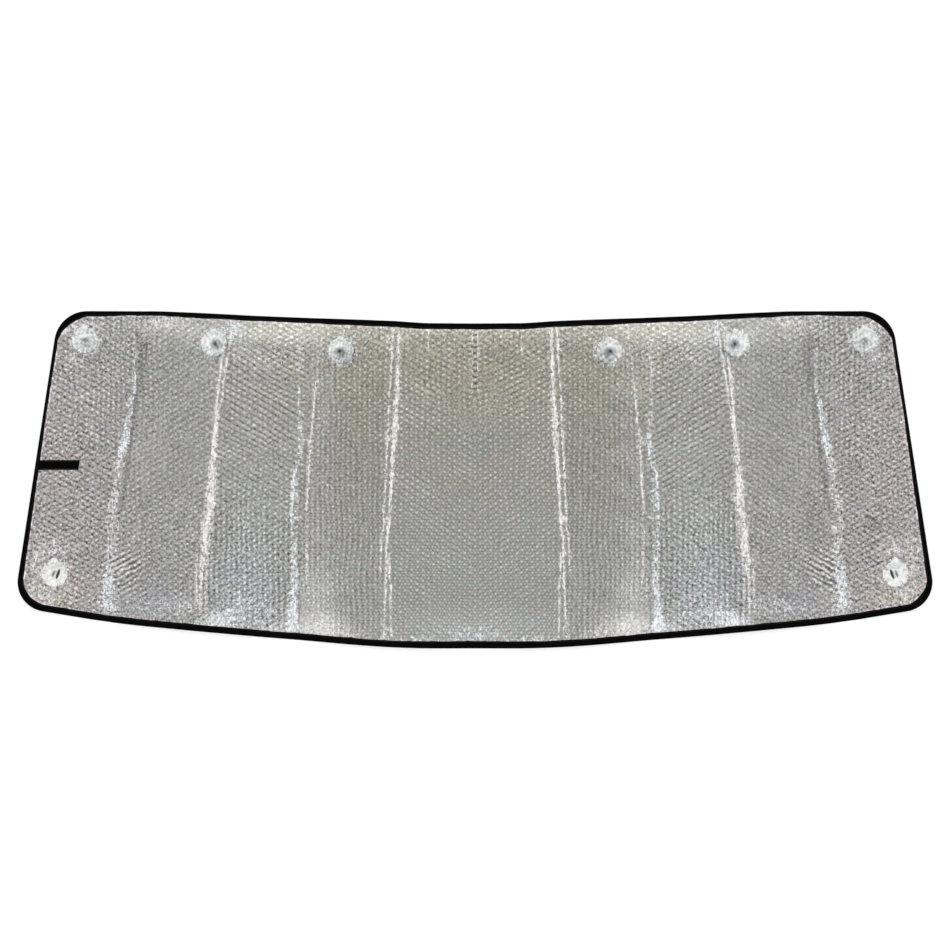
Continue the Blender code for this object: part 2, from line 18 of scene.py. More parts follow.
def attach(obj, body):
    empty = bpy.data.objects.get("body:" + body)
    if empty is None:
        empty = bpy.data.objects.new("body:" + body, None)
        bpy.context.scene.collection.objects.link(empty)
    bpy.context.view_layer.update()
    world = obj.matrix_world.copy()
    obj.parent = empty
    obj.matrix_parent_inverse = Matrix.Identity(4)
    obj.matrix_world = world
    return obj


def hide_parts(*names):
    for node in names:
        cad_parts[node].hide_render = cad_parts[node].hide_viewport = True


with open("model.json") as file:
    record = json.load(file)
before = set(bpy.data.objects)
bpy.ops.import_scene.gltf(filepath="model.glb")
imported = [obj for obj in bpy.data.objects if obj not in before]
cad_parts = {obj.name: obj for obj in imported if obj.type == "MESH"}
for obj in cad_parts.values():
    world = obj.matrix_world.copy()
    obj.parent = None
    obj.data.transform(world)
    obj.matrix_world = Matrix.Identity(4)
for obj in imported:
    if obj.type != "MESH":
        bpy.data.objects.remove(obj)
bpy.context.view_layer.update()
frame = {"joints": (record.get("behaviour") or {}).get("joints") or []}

# Outline, creases and relief, as the part's source has them
TOP_HALF_WIDTH = 0.728
BOTTOM_HALF_WIDTH = 0.8075
MIDDLE_HEIGHT = 0.5697
TOP_CORNER_RISE = 0.0213
BOTTOM_CORNER_RISE = 0.0738
TOP_CORNER_RADIUS = 0.058
BOTTOM_CORNER_RADIUS = 0.052
TOP_EDGE_CLIMB = (
    (0.0, 0.0), (0.10, 0.0), (0.204, 0.18), (0.35, 0.39), (0.54, 0.62), (0.685, 0.876),
    (0.781, 1.0), (1.0, 1.0),
)
BOTTOM_EDGE_CLIMB = (
    (0.0, 0.0), (0.10, 0.006), (0.14, 0.018), (0.227, 0.066), (0.357, 0.178), (0.488, 0.300),
    (0.618, 0.434), (0.748, 0.567), (0.834, 0.692), (1.0, 1.0),
)
BOTTOM_MIDDLE_Y = -(MIDDLE_HEIGHT + TOP_CORNER_RISE) / 2
TOP_MIDDLE_Y = BOTTOM_MIDDLE_Y + MIDDLE_HEIGHT
TOP_CORNER_Y = TOP_MIDDLE_Y + TOP_CORNER_RISE
BOTTOM_CORNER_Y = BOTTOM_MIDDLE_Y + BOTTOM_CORNER_RISE

VALLEY_HEIGHT = 0.0018
RIDGE_HEIGHT = 0.014
SIDE_HEIGHT = 0.0085
SIDE_CREASES = (
    (0.189, 0.187, 0.0, True),
    (0.392, 0.380, 0.0, False),
    (0.587, 0.605, 0.0, True),
    (0.793, 0.798, 0.010, False),
)

# Heights of the film's faces above and below the sheet's middle layer
FRONT_HEIGHT = 0.0015
CREASE_HALF_THICKNESS = 0.0006
SEWN_HALF_THICKNESS = 0.0008
SEWN_MARGIN = 0.0005
CRUSH_RAMP = 0.0030
FOLD_ROUNDING = 0.0025
FOLD_CRUSH_WIDTH = 0.0022
RIM_DEPTH = 0.0012
UNDER_STRAP_HEIGHT = 0.0010

# Edge tape
TAPE_THICKNESS = 0.0007
TAPE_INNER_HEIGHT = 0.0011
TAPE_OUTER_HEIGHT = 0.0018
TOP_TAPE_WIDTHS = (
    (0.0, 0.0104), (0.24, 0.0104), (0.30, 0.0089), (0.50, 0.0092), (0.60, 0.0070), (0.66, 0.0095)
)
BOTTOM_TAPE_WIDTHS = ((0.0, 0.0128), (0.16, 0.0120), (0.60, 0.0118), (0.74, 0.0118))
SIDE_TAPE_WIDTHS = (
    (-0.16, 0.0096), (-0.05, 0.0082), (0.05, 0.0070), (0.12, 0.0058), (0.20, 0.0060)
)
TOP_CORNER_BULGE = 0.0046
BOTTOM_CORNER_BULGE = 0.0022
TAPE_STEP = 0.0040
TAPE_RIPPLE, TAPE_RIPPLE_LENGTH = 0.00007, 0.011

# How the tape's width wanders: strength and length
TAPE_WANDER = ((0.00030, 0.050), (0.00015, 0.018))

# Closure strap
STRAP_WIDTH = 0.0170
STRAP_VISIBLE_LENGTH = 0.0690
STRAP_TUCK = 0.0040
STRAP_THICKNESS = 0.0016
STRAP_ABOVE_MIDDLE = 0.0260
STRAP_LIFT = 0.0019
TAPE_LIFT_MARGIN = 0.0012
TAPE_LIFT_RAMP = 0.0060
TAPE_LIFT_REACH = 0.02
SEWN_GAP = 0.0003

# Suction cups
CUP_RADIUS = 0.0225
CUP_DEPTH = 0.0125
CUP_FLOOR = 0.0046
LIP_WIDTH = 0.0013
RIM_THICKNESS = 0.0012
HUB_RADIUS = 0.0066
HUB_HEIGHT = 0.0021
NECK_RADIUS = 0.0026
NECK_CLEARANCE = 0.0005
HEAD_RADIUS = 0.0080
HEAD_HEIGHT = 0.0032
TAB_LENGTH = 0.0055
TAB_HALF_WIDTH = 0.0048
WIDE_TAB_HALF_WIDTH = 0.0064
SHORT_TAB = 0.5
SEAT_GAP = 0.0003
LAMINATE_THICKNESS = 0.0030
SLIT_LENGTH = 0.0130
SLIT_POINTEDNESS = 0.25
SLIT_LEAN = math.radians(14.0)
BOTTOM_CUP_BODIES = ("cup_7", "cup_8")
MIRRORED_CUPS = {"cup_6": "cup_1", "cup_5": "cup_2", "cup_4": "cup_3", "cup_8": "cup_7"}

# Bubbles: hexagonal rows, nearest neighbours along Y
BUBBLE_PITCH = 0.0106
BUBBLE_COLUMN = BUBBLE_PITCH * math.sqrt(3) / 2
BUBBLE_LOW_POINT = BUBBLE_PITCH / math.sqrt(3)
BUBBLE_REACH = 0.0055
BUBBLE_RING = 0.0035
BUBBLE_HEIGHT = 0.0009
BUBBLE_FULLNESS, FULLNESS_LIMITS = (0.97, 0.18), (0.45, 1.06)
BUBBLE_TILT = 0.060
BACK_PRINT_DEPTH = 0.0003
LAST_COLUMN = 92
LAST_ROW = 32

# Slow stretching of the bubble rows, from folding and sewing, alike on both halves
STRETCH = 0.0018
STRETCH_WAVE = 0.150
STRETCH_FREE = 0.060

# Painted light and shade of the bubble rows in one half, where the rows would catch the light: place
# and reach along X and Y in millimetres, then the depth of the waves that run at 0, 60 and 120 degrees,
# that of the finest painted highlight dots, and how speckled the film is
PAINTED_ROW_LIGHT = (
    (695, -29, 50, 100, (0.02, 0.14, 0.17), 0.08, 2.4),
    (630, 174, 70, 80, (0.12, 0.02, 0.13), 0.08, 2.0),
    (532, 94, 50, 100, (0.04, 0.08, 0.03), 0.06, 1.2),
    (541, -117, 50, 80, (0.04, 0.10, 0.11), 0.11, 1.6),
    (380, 94, 60, 110, (0.03, 0.05, 0.17), 0.05, 1.4),
    (360, 215, 50, 18, (0.02, 0.03, 0.12), 0.05, 2.3),
    (350, 262, 90, 20, (0.02, 0.02, 0.04), 0.04, 1.3),
    (397, -152, 60, 90, (0.20, 0.20, 0.04), 0.12, 2.0),
    (290, -262, 30, 30, (0.04, 0.03, 0.05), 0.05, 1.2),
    (222, 129, 50, 100, (0.13, 0.02, 0.03), 0.09, 1.3),
    (190, 240, 40, 25, (0.05, 0.02, 0.04), 0.05, 1.9),
    (217, -152, 50, 100, (0.16, 0.01, 0.03), 0.12, 1.25),
    (51, 230, 80, 30, (0.05, 0.03, 0.05), 0.05, 1.7),
    (51, 165, 80, 40, (0.09, 0.02, 0.12), 0.07, 1.4),
    (51, 58, 80, 70, (0.08, 0.05, 0.09), 0.12, 0.75),
    (51, -152, 80, 100, (0.06, 0.05, 0.11), 0.16, 0.55),
)
GLINT_RISE = 0.0012

# Near the middle the lit rows bend into arcs: how far, at what height and over what reach
ARC_BEND, ARC_HEIGHT, ARC_REACH = 0.030, 0.135, 0.070

# Ladder along the middle's upper end, painted light and shade: bright gaps between small dark diamonds
LADDER_TOP, LADDER_FOOT, LADDER_STEP = 0.262, 0.140, 0.0106

# Welts of crumpled film along the folds of one half, raised a little, their brightness a painted
# highlight. Each has its tint and its points: height, distance from the middle and half width in
# millimetres, and strength.
CREAM, WARM, BLUE = (0.925, 0.90, 0.865), (0.935, 0.905, 0.895), (0.935, 0.965, 1.00)
PINK, ROSE = (1.00, 0.90, 0.98), (1.00, 0.955, 0.975)
WELTS = (
    (CREAM, (
        (265.7, 131.6, 3.4, 1.20), (227.2, 134, 3.2, 1.25), (192.2, 135, 3.4, 1.30),
        (139.7, 137.8, 4.8, 1.25), (104.7, 138.5, 5.6, 1.15), (78.5, 140.5, 6.6, 1.05),
        (61, 141.8, 4.4, 1.20), (17.2, 144.6, 3.4, 1.50), (-17.8, 146.3, 3, 1.50),
        (-35.3, 147.7, 2.8, 1.35), (-61.5, 149.4, 2.6, 1.20), (-68.5, 151.5, 6, 1.30),
        (-80, 150.5, 3, 1.10), (-105.3, 153.4, 2.6, 1.10), (-131.5, 154.5, 2.4, 1.20),
        (-175.2, 155.2, 2.2, 1.10), (-210.2, 157.3, 2, 1.10), (-280.3, 159.7, 2, 1.10),
    )),
    (CREAM, (
        (265.7, 143.3, 2, 1.00), (227.2, 144.3, 2, 1.05), (192.2, 146.2, 1.8, 0.95),
        (139.7, 150.8, 1.8, 0.95), (96, 151.2, 2, 1.00), (78.5, 153, 3.4, 0.95),
        (52.2, 154.1, 2.2, 1.05), (-0.3, 156.8, 2, 1.10), (-35.3, 158, 2, 1.10),
        (-60, 160.3, 2, 0.95), (-79, 159, 2, 0.95), (-105.3, 163.4, 2, 1.15),
        (-122.8, 164.7, 2, 1.15), (-161, 165.2, 1.8, 1.00),
    )),
    (CREAM, (
        (-128, 150.8, 1.8, 0.95), (-131.5, 149.4, 2, 1.05), (-170, 149.4, 2, 1.10),
        (-179, 147, 2, 1.15), (-210.2, 147.4, 1.8, 1.00), (-260, 147, 2, 1.10),
        (-279, 145, 2.2, 1.10),
    )),
    (BLUE, (
        (262.2, 306.1, 2.6, 0.35), (176.4, 308.7, 2.6, 0.40), (132.7, 308, 3.6, 0.45),
        (82, 306.1, 4.4, 0.55), (64.5, 306.1, 4, 0.85), (43.5, 307, 6, 0.50),
        (26, 313, 6, 0.50), (8.5, 318, 3, 0.95), (-26.5, 319.8, 2.8, 1.00),
        (-52.7, 321.2, 2.8, 0.72), (-70, 321, 4, 0.44), (-105.3, 318.3, 5, 0.48),
        (-157.7, 316.8, 7, 0.66), (-210.2, 318.3, 7.4, 1.00), (-231.2, 320.1, 9.5, 1.15),
        (-268, 322.5, 15.5, 1.35),
    )),
    (CREAM, (
        (-84.2, 296.5, 2.4, 0.30), (-128, 294.7, 3.4, 0.50), (-171.8, 294.7, 3.4, 0.45),
        (-190, 294, 3, 0.20),
    )),
    (CREAM, (
        (271, 268.5, 1.8, 0.75), (236, 269, 1.8, 0.75), (180, 277, 1.8, 0.40),
        (139.7, 281.6, 2, 0.90), (96, 284.8, 2.2, 1.20), (76, 287.7, 2, 1.00),
        (64.5, 289.5, 1.8, 0.70), (52.2, 289.2, 2, 1.30), (17.2, 290.9, 2, 1.55),
        (-17.8, 292.8, 2, 1.45), (-44, 294.7, 1.8, 1.10), (-58, 295.6, 1.8, 0.80),
    )),
    (WARM, (
        (260.5, 435.6, 2.8, 1.15), (220, 441.2, 2.6, 1.20), (139.7, 450.8, 2.6, 1.20),
        (113.5, 451.7, 3.4, 1.25), (87.2, 454, 4, 1.25), (52.2, 457.3, 5.2, 1.25),
        (17.2, 460, 6.6, 1.25), (-17.8, 462.2, 7.6, 1.20), (-44, 464, 7.8, 1.25),
        (-79, 468.8, 7, 1.30), (-105.3, 471.5, 6.6, 1.20), (-140.2, 476, 5.4, 1.10),
        (-175.2, 478.5, 3.8, 1.05), (-210.2, 479.5, 2.6, 1.00), (-236, 479.5, 2.4, 0.95),
    )),
    (WARM, (
        (260.5, 425.1, 2.8, 1.05), (220, 432.4, 2.8, 1.05), (166.2, 440, 2.2, 0.80),
        (139.7, 441.7, 2, 0.85), (122.2, 447, 2, 0.85), (87.2, 450, 2.4, 0.45),
        (17.2, 454, 3.6, 0.60), (-44, 457, 4.4, 0.70), (-105.3, 464, 3.6, 0.60),
        (-175.2, 471.5, 2.6, 0.65), (-231.2, 470.6, 2.2, 0.70),
    )),
    (BLUE, (
        (5, 313, 4.6, 0.42), (-30, 313.5, 6, 0.48), (-58, 316, 4, 0.36),
    )),
    (WARM, (
        (-131.5, 485, 2, 0.50), (-185.8, 486.8, 2.2, 0.85), (-231.2, 487.2, 2.2, 0.85),
    )),
    (BLUE, (
        (226.5, 596, 2.8, 0.35), (190, 596, 2.8, 0.45), (165, 597, 4.5, 0.60),
        (149, 598, 4.5, 0.50), (135.3, 605.5, 5.6, 0.85), (122.2, 605, 6, 0.60),
        (104.7, 607.1, 6.6, 0.75), (87.2, 610.6, 6.6, 0.80), (69.7, 615, 8.5, 1.20),
        (52.2, 618.5, 8.5, 1.10), (43, 620, 6, 0.90),
    )),
    (ROSE, (
        (48, 619, 6, 0.80), (17.2, 626, 8.5, 0.52), (-17.8, 629, 8.5, 0.44),
        (-35.3, 634, 10, 0.54), (-65, 638.5, 9.5, 0.46), (-87.7, 637, 8, 0.38),
        (-122.8, 637, 8, 0.48), (-140, 638, 8, 0.46),
    )),
    (BLUE, (
        (-114, 638.6, 7, 0.35), (-150, 640, 9, 0.55), (-170, 642, 11.5, 0.90),
        (-184, 644, 12, 0.90), (-210.2, 646.5, 12.5, 0.85), (-228, 647.3, 12, 0.85),
    )),
    (CREAM, (
        (265.5, 4.6, 1.5, 0.66), (210, 4.4, 1.4, 0.68), (150, 5, 1.4, 0.44),
    )),
    (CREAM, (
        (265, 81.2, 1.5, 0.70), (219, 81.2, 1.5, 0.50),
    )),
    (CREAM, (
        (269, 229, 1.5, 0.75), (224, 229, 1.5, 0.60),
    )),
)

# Painted shade in dimmer bands beside the folds of one half: how much dimmer, then height, distance
# from the middle and half width
PAINTED_FOLD_SHADES = (
    (0.30, ((0.250, 0.581, 0.010), (0.215, 0.583, 0.011), (0.150, 0.590, 0.008))),
    (0.33, ((0.150, 0.594, 0.004), (0.063, 0.603, 0.004), (0.000, 0.612, 0.004), (-0.055, 0.621, 0.004))),
    (0.08, ((0.180, 0.166, 0.011), (0.042, 0.168, 0.011), (-0.120, 0.172, 0.011))),
    (0.45, ((-0.190, 0.3089, 0.0014), (-0.275, 0.3089, 0.0014))),
    (0.16, ((0.140, 0.2890, 0.0030), (-0.050, 0.3010, 0.0030))),
    (0.10, ((0.230, 0.1480, 0.0022), (-0.060, 0.1520, 0.0022))),
)
SHADE_MARGIN, SHADE_RAMP = 0.015, 0.030
WELT_HEIGHT = 0.0008
WELT_STEP = 0.0024
WELT_ROWS = (-1.0, -0.5, 0.0, 0.5, 1.0)
WELT_EDGE, WELT_EDGE_RAMP = 1.2, 0.8
WELT_CLEARING = 0.0010

# Unevenness of the welts: strength and length of their jags, their swelling and their patches
JAGS = ((0.00025, 0.024), (0.00020, 0.008))
SWELLING = (0.24, 0.020)
LONG_PATCHES, SHORT_PATCHES = (0.14, 0.035), (0.22, 0.0075)

# How far the soft ends of welts and pressed bands reach past them
END_MARGIN, END_RAMP = 0.004, 0.010

# Bands of one half where the folds have pressed the bubbles flat: height, inner and outer
# distance from the middle, and how flat they are
PRESSED_BANDS = (
    (((0.270, 0.138, 0.142), (0.139, 0.145, 0.149), (-0.001, 0.150, 0.153),
      (-0.274, 0.151, 0.153)), 0.50),
    (((0.262, 0.431, 0.434), (0.153, 0.445, 0.448), (-0.1007, 0.474, 0.476),
      (-0.246, 0.489, 0.491)), 0.50),
    (((0.200, 0.584, 0.592), (0.0708, 0.606, 0.612), (-0.0115, 0.618, 0.625),
      (-0.0914, 0.631, 0.638), (-0.2297, 0.643, 0.648)), 0.80),
)
PRESSED_RAMP = 0.0020
CREASE_REACH = 1.4

# Painted reflections of the film, one half, as lighter and darker soft tints: place and reach along X
# and Y in millimetres, and colour. Then brighter patches of crumpled film, painted highlights, which
# also have a strength before their colour.
PAINTED_REFLECTIONS = (
    (0, 200, 220, 110, (0.94, 0.91, 0.79)),
    (0, 64, 55, 22, (0.93, 0.97, 1.03)),
    (0, 40, 160, 90, (0.94, 0.94, 0.89)),
    (60, -160, 140, 120, (0.99, 1.02, 0.98)),
    (210, 60, 50, 180, (0.87, 0.88, 0.81)),
    (250, 100, 30, 60, (1.00, 0.99, 1.03)),
    (280, 170, 130, 90, (0.99, 1.00, 0.95)),
    (380, -50, 50, 120, (1.07, 1.10, 1.07)),
    (400, -180, 55, 90, (1.12, 1.17, 1.27)),
    (530, 120, 60, 140, (0.90, 0.91, 0.88)),
    (560, 200, 80, 60, (0.97, 0.98, 0.98)),
    (330, 264, 100, 27, (1.62, 1.63, 1.56)),
    (385, 212, 30, 18, (1.20, 1.20, 1.18)),
    (315, 210, 14, 22, (1.18, 1.18, 1.14)),
    (540, 268, 80, 20, (1.30, 1.30, 1.29)),
    (80, 268, 150, 20, (1.40, 1.40, 1.37)),
    (270, -262, 46, 26, (1.90, 1.90, 1.90)),
    (278, -198, 30, 52, (1.38, 1.39, 1.38)),
    (452, -250, 26, 14, (2.15, 2.16, 2.26)),
    (345, -262, 30, 14, (1.45, 1.46, 1.51)),
    (590, -60, 22, 70, (0.90, 0.90, 0.90)),
    (40, -262, 100, 34, (1.19, 1.20, 1.24)),
    (560, -205, 50, 30, (0.96, 0.97, 1.03)),
    (760, -220, 120, 80, (1.02, 0.98, 0.98)),
    (735, -200, 55, 50, (1.26, 1.25, 1.21)),
    (740, 20, 100, 280, (1.12, 1.06, 1.09)),
    (490, 254, 22, 16, (1.17, 1.17, 1.16)),
    (385, 254, 24, 14, (1.12, 1.12, 1.11)),
    (280, 166, 20, 25, (1.12, 1.12, 1.10)),
    (280, -96, 20, 25, (1.16, 1.16, 1.15)),
    (385, -219, 20, 16, (0.88, 0.88, 0.88)),
)
GLARE_PATCHES = (
    (545, 278, 30, 10, 0.85, CREAM),
    (700, 213, 14, 8, 0.62, PINK),
    (427, 258, 18, 24, 0.95, BLUE),
    (700, 268, 34, 10, 0.85, WARM),
    (427, -235, 24, 13, 1.00, BLUE),
    (450, -247, 24, 10, 0.80, BLUE),
    (540, -222, 70, 20, 0.33, BLUE),
    (400, -230, 50, 35, 0.40, BLUE),
    (275, -264, 35, 12, 0.66, WARM),
    (110, -283, 60, 8, 0.70, BLUE),
    (0, -273, 50, 14, 0.60, BLUE),
    (240, -270, 50, 12, 0.62, CREAM),
    (735, -120, 22, 18, 0.60, PINK),
    (765, -150, 14, 60, 0.62, CREAM),
    (757, -200, 26, 18, 0.62, CREAM),
    (640, -222, 18, 30, 0.64, BLUE),
    (628, -83, 7, 4, 1.10, WARM),
    (634, -126, 8, 12, 0.80, BLUE),
    (765, 34, 8, 10, 0.95, WARM),
    (295, 68, 6, 6, 0.90, CREAM),
    (312, -66, 12, 2, 0.90, CREAM),
    (148, 245.5, 4, 2, 1.15, CREAM),
    (148, 228.5, 4, 2, 1.15, CREAM),
    (153, -261.5, 6, 2, 1.30, CREAM),
)

# Painted highlights: pinkish glints of the film where it dives under the tape, and a bright ring on its
# crumples round the cups
EDGE_GLINT_DEPTH = 0.0013
CUP_HALO = 0.0240
CUP_HALO_WIDTH = 0.0036

# Slanted wrinkles beside the outer fold's lower end, one half: place and reach in millimetres
WASHBOARD_SPOT = (616, -161, 36, 29)
WASHBOARD_HEIGHT = 0.0007
# How strongly light and dark are painted across the wrinkles' slopes, a painted highlight and shade
WASHBOARD_GLARE = 1.35
WASHBOARD_STEP = 0.0088
WASHBOARD_LEAN = math.radians(62.0)
WASHBOARD_WANDER, WASHBOARD_WANDER_LENGTH = 0.0011, 0.022

# Slow waves of the whole sheet, and small crumples where it is gathered: height and length
SHEET_WAVES = ((0.00055, 0.110), (0.00028, 0.042))
PUCKER_HEIGHT, PUCKER_LENGTH = 0.00030, 0.0085

# Where the film is held, as a margin and a ramp: its gathers and welts beside the tape, its flat
# seat round a cup's hub, its print under the strap, and how it gets free of all three
PUCKER_PLACE, PUCKER_WIDTH = 0.003, 0.007
PUCKER_MARGIN, PUCKER_RAMP = 0.0005, 0.002
WELT_FADE = 0.004
SEAT_RADIUS, SEAT_RAMP = HUB_RADIUS + 0.001, 0.004
PRINT_MARGIN, PRINT_RAMP, PRINT_DEPTH = 0.001, 0.006, 0.35
FREE_OF_TAPE, FREE_OF_CUP, FREE_OF_STRAP = (0.002, 0.035), (0.010, 0.030), 0.02

# How bright the painted highlights are: on the crumples round the cups, in the ladder's gaps and in the
# rim's glints
HALO_GLARE, RUNG_GLARE, EDGE_GLARE, SIDE_GLARE = 0.62, 0.50, 0.50, 0.95
SIDE_GLARE_START, SIDE_GLARE_RAMP = 0.66, 0.05
RUNG_DARKNESS, RUNG_HALF_WIDTH, RUNG_ENDS = 1.5, 0.0030, (0.010, 0.030)
# Least light kept by the painted shade on wrinkles and rungs, the brightest painted highlight, and how
# much the film's own colour gives way beneath it
DARKEST_WRINKLE, DARKEST_RUNG, BRIGHTEST, GLARE_LOSS = 0.35, 0.25, 1.8, 0.25

# Unevenness of bright patches, of the rim's glints and of the cups' rays: middle, strength,
# length and most
PATCH_UNEVENNESS = (0.75, 0.5, 0.012, 1.3)
GLINT_UNEVENNESS = (0.6, 0.6, 0.020, 1.4)
RAY_UNEVENNESS = (0.5, 0.8, 0.014, 1.5)

# What the row waves' painted light and shade lose where the film is pressed, sewn and under a cup's hub
ROW_LIGHT_LOSSES = (0.7, 0.6, 0.8)

# Points of the front film, and of the plainer back film: step along the outline, and how far
# past the tape's inner edge the rings of points lie. Then those round each cup's hole.
FRONT_STEP, FRONT_RINGS = 0.0026, (-0.0008, 0.0008, 0.0022, 0.0038, 0.0056)
BACK_STEP, BACK_RINGS = 0.0060, (0.0, 0.0050)
FIELD_MARGIN, WELT_MARGIN, RIM_MARGIN = 0.0012, 0.0008, 0.0002
CUP_RINGS, CUP_RING_POINTS, CUP_CLEARING = (0.0070, 0.0090), 20, 0.0102

# Area lamps: name, place, size and the brightness that a mirror would show
SOFTBOXES = (
    ("key_top", (0.0, 2.4, 3.4), (3.2, 1.8), 2.3),
    ("fill_low", (0.0, -3.2, 4.2), (3.0, 1.8), 2.2),
    ("fill_left", (-4.5, 0.2, 3.8), (2.4, 3.2), 1.8),
    ("fill_right", (4.5, 0.2, 3.8), (2.4, 3.2), 1.8),
)

PHOTO_WIDTH = 1.6625
CAMERA_RAISE = 0.0085
CAMERA_LENS = 100.0
SENSOR_WIDTH = 36.0
FLOOR_HALF_WIDTH = 8.0
FLOOR_GAP = 0.0002


def between(low, high, share):
    return low + (high - low) * share


def soft_step(value):
    share = np.clip(value, 0.0, 1.0)
    return share * share * (3 - 2 * share)


def soft_span(y, bottom, top, margin, ramp):
    """1 from the bottom to the top, with soft ends that begin a margin beyond them."""
    return soft_step((top + margin - y) / ramp) * soft_step((y - bottom + margin) / ramp)


def faded(away, start, ramp):
    """1 up to a start, then falling softly to 0 along a ramp."""
    return 1.0 - soft_step((away - start) / ramp)


def bell(value):
    """1 where the value is 0, fading softly to both sides."""
    return np.exp(-(value**2))


def spot_at(x, y, *millimetres):
    """Weight of a soft oval spot that both halves have, from its place and its reach."""
    place_x, place_y, reach_x, reach_y = (value / 1000 for value in millimetres)
    return np.exp(-(((np.abs(x) - place_x) / reach_x) ** 2) - ((y - place_y) / reach_y) ** 2)


def turned(x, y, angle):
    """The same places, read along axes that are turned by an angle."""
    cos, sin = math.cos(angle), math.sin(angle)
    return x * cos + y * sin, y * cos - x * sin


def take_stronger(amount, tint, new_amount, new_tint):
    """The larger of two amounts at each point, with its tint."""
    more = new_amount > amount
    return np.where(more, new_amount, amount), np.where(more[..., None], new_tint, tint)


def smooth_through(points, share):
    """Height of a long edge at shares of its half width, smooth through its points."""
    xs, ys = np.array(points).T
    share = np.abs(share)
    secants = np.diff(ys) / np.diff(xs)
    before = np.concatenate((secants[:1], secants))
    after = np.concatenate((secants, secants[-1:]))
    same_way = before * after > 0
    slopes = np.where(same_way, 2 * before * after / np.where(same_way, before + after, 1.0), 0.0)
    i = np.clip(np.searchsorted(xs, share) - 1, 0, len(xs) - 2)
    span = xs[i + 1] - xs[i]
    t = (share - xs[i]) / span
    curved = (
        ys[i] * (2 * t**3 - 3 * t**2 + 1)
        + slopes[i] * span * (t**3 - 2 * t**2 + t)
        + ys[i + 1] * (3 * t**2 - 2 * t**3)
        + slopes[i + 1] * span * (t**3 - t**2)
    )
    return np.where(i == len(xs) - 2, between(ys[i], ys[i + 1], t), curved)


def top_edge(x):
    return TOP_MIDDLE_Y + TOP_CORNER_RISE * smooth_through(TOP_EDGE_CLIMB, x / TOP_HALF_WIDTH)


def bottom_edge(x):
    climb = smooth_through(BOTTOM_EDGE_CLIMB, x / BOTTOM_HALF_WIDTH)
    return BOTTOM_MIDDLE_Y + BOTTOM_CORNER_RISE * climb


def side_x(y):
    """Half width of the outline's straight side, carried on past both corners."""
    share = (y - BOTTOM_CORNER_Y) / (TOP_CORNER_Y - BOTTOM_CORNER_Y)
    return between(BOTTOM_HALF_WIDTH, TOP_HALF_WIDTH, share)


def edge_slope(edge, x):
    reach = 0.001
    return (edge(x + reach) - edge(x - reach)) / (2 * reach)


SIDE_SLOPE = side_x(1.0) - side_x(0.0)
SIDE_LEAN = math.hypot(1.0, SIDE_SLOPE)


def crease_x(crease, y):
    """Half-width place of a crease at a height on the sheet."""
    top_share, bottom_share, bow, _ = crease
    share = (y - BOTTOM_MIDDLE_Y) / (TOP_CORNER_Y - BOTTOM_MIDDLE_Y)
    return side_x(y) * between(bottom_share, top_share, share) + bow * (1 - (2 * share - 1) ** 2)


def fold_lines(y):
    """Half-width places and heights of the middle, the creases and the side, from inside out."""
    lines = [(np.zeros_like(y), VALLEY_HEIGHT)]
    for crease in SIDE_CREASES:
        lines.append((crease_x(crease, y), VALLEY_HEIGHT + (RIDGE_HEIGHT if crease[3] else 0.0)))
    lines.append((side_x(y), VALLEY_HEIGHT + SIDE_HEIGHT))
    return lines


def relief(x, y):
    """Height of the sheet's middle layer above the floor, with sharp folds."""
    x = np.abs(x)
    lines = fold_lines(y)
    height = np.full_like(x, VALLEY_HEIGHT)
    for (low_x, low_z), (high_x, high_z) in zip(lines, lines[1:]):
        share = (x - low_x) / (high_x - low_x)
        height = np.where(x >= low_x, between(low_z, high_z, share), height)
    return height


def soft_relief(x, y):
    """The same with the folds rounded a little, as film bends."""
    x = np.abs(x)
    spread = (relief(x - FOLD_ROUNDING, y) + relief(x + FOLD_ROUNDING, y)) / 2
    return (relief(x, y) + spread) / 2


def width_along(widths, place):
    """The tape's visible width at places along an edge."""
    places, values = np.array(widths).T
    return np.interp(place, places, values)


class Corner:
    """A rounded corner of the right half: its centre and where its arc begins and ends."""

    def __init__(self, edge, corner_x, radius, inward, edge_widths, bulge):
        reach = 0.01
        slope = (edge(corner_x) - edge(corner_x - reach)) / reach
        lean = math.hypot(1.0, slope)
        y = edge(corner_x)
        for _ in range(40):
            x = side_x(y) - radius * SIDE_LEAN
            y = edge(corner_x) + slope * (x - corner_x) + inward * radius * lean
        self.x, self.y, self.radius = float(x), float(y), radius
        self.edge_angle = math.atan2(-inward, inward * slope)
        self.side_angle = math.atan2(-SIDE_SLOPE, 1.0)
        self.edge_width = edge_widths[-1][1]
        self.side_width = float(width_along(SIDE_TAPE_WIDTHS, self.at(self.side_angle)[1]))
        self.bulge = bulge

    def at(self, angle):
        return self.x + self.radius * np.cos(angle), self.y + self.radius * np.sin(angle)

    def share(self, x, y):
        """How far round the arc a direction lies, from the long edge (0) to the side (1),
        and whether it lies within the arc."""
        angle = np.arctan2(y - self.y, x - self.x)
        share = (angle - self.edge_angle) / (self.side_angle - self.edge_angle)
        return np.clip(share, 0, 1), (share >= 0) & (share <= 1)


LOW_CORNER = Corner(
    bottom_edge, BOTTOM_HALF_WIDTH, BOTTOM_CORNER_RADIUS, 1, BOTTOM_TAPE_WIDTHS, BOTTOM_CORNER_BULGE
)
HIGH_CORNER = Corner(
    top_edge, TOP_HALF_WIDTH, TOP_CORNER_RADIUS, -1, TOP_TAPE_WIDTHS, TOP_CORNER_BULGE
)
STRAP_TAPE_WIDTH = float(width_along(SIDE_TAPE_WIDTHS, STRAP_ABOVE_MIDDLE))


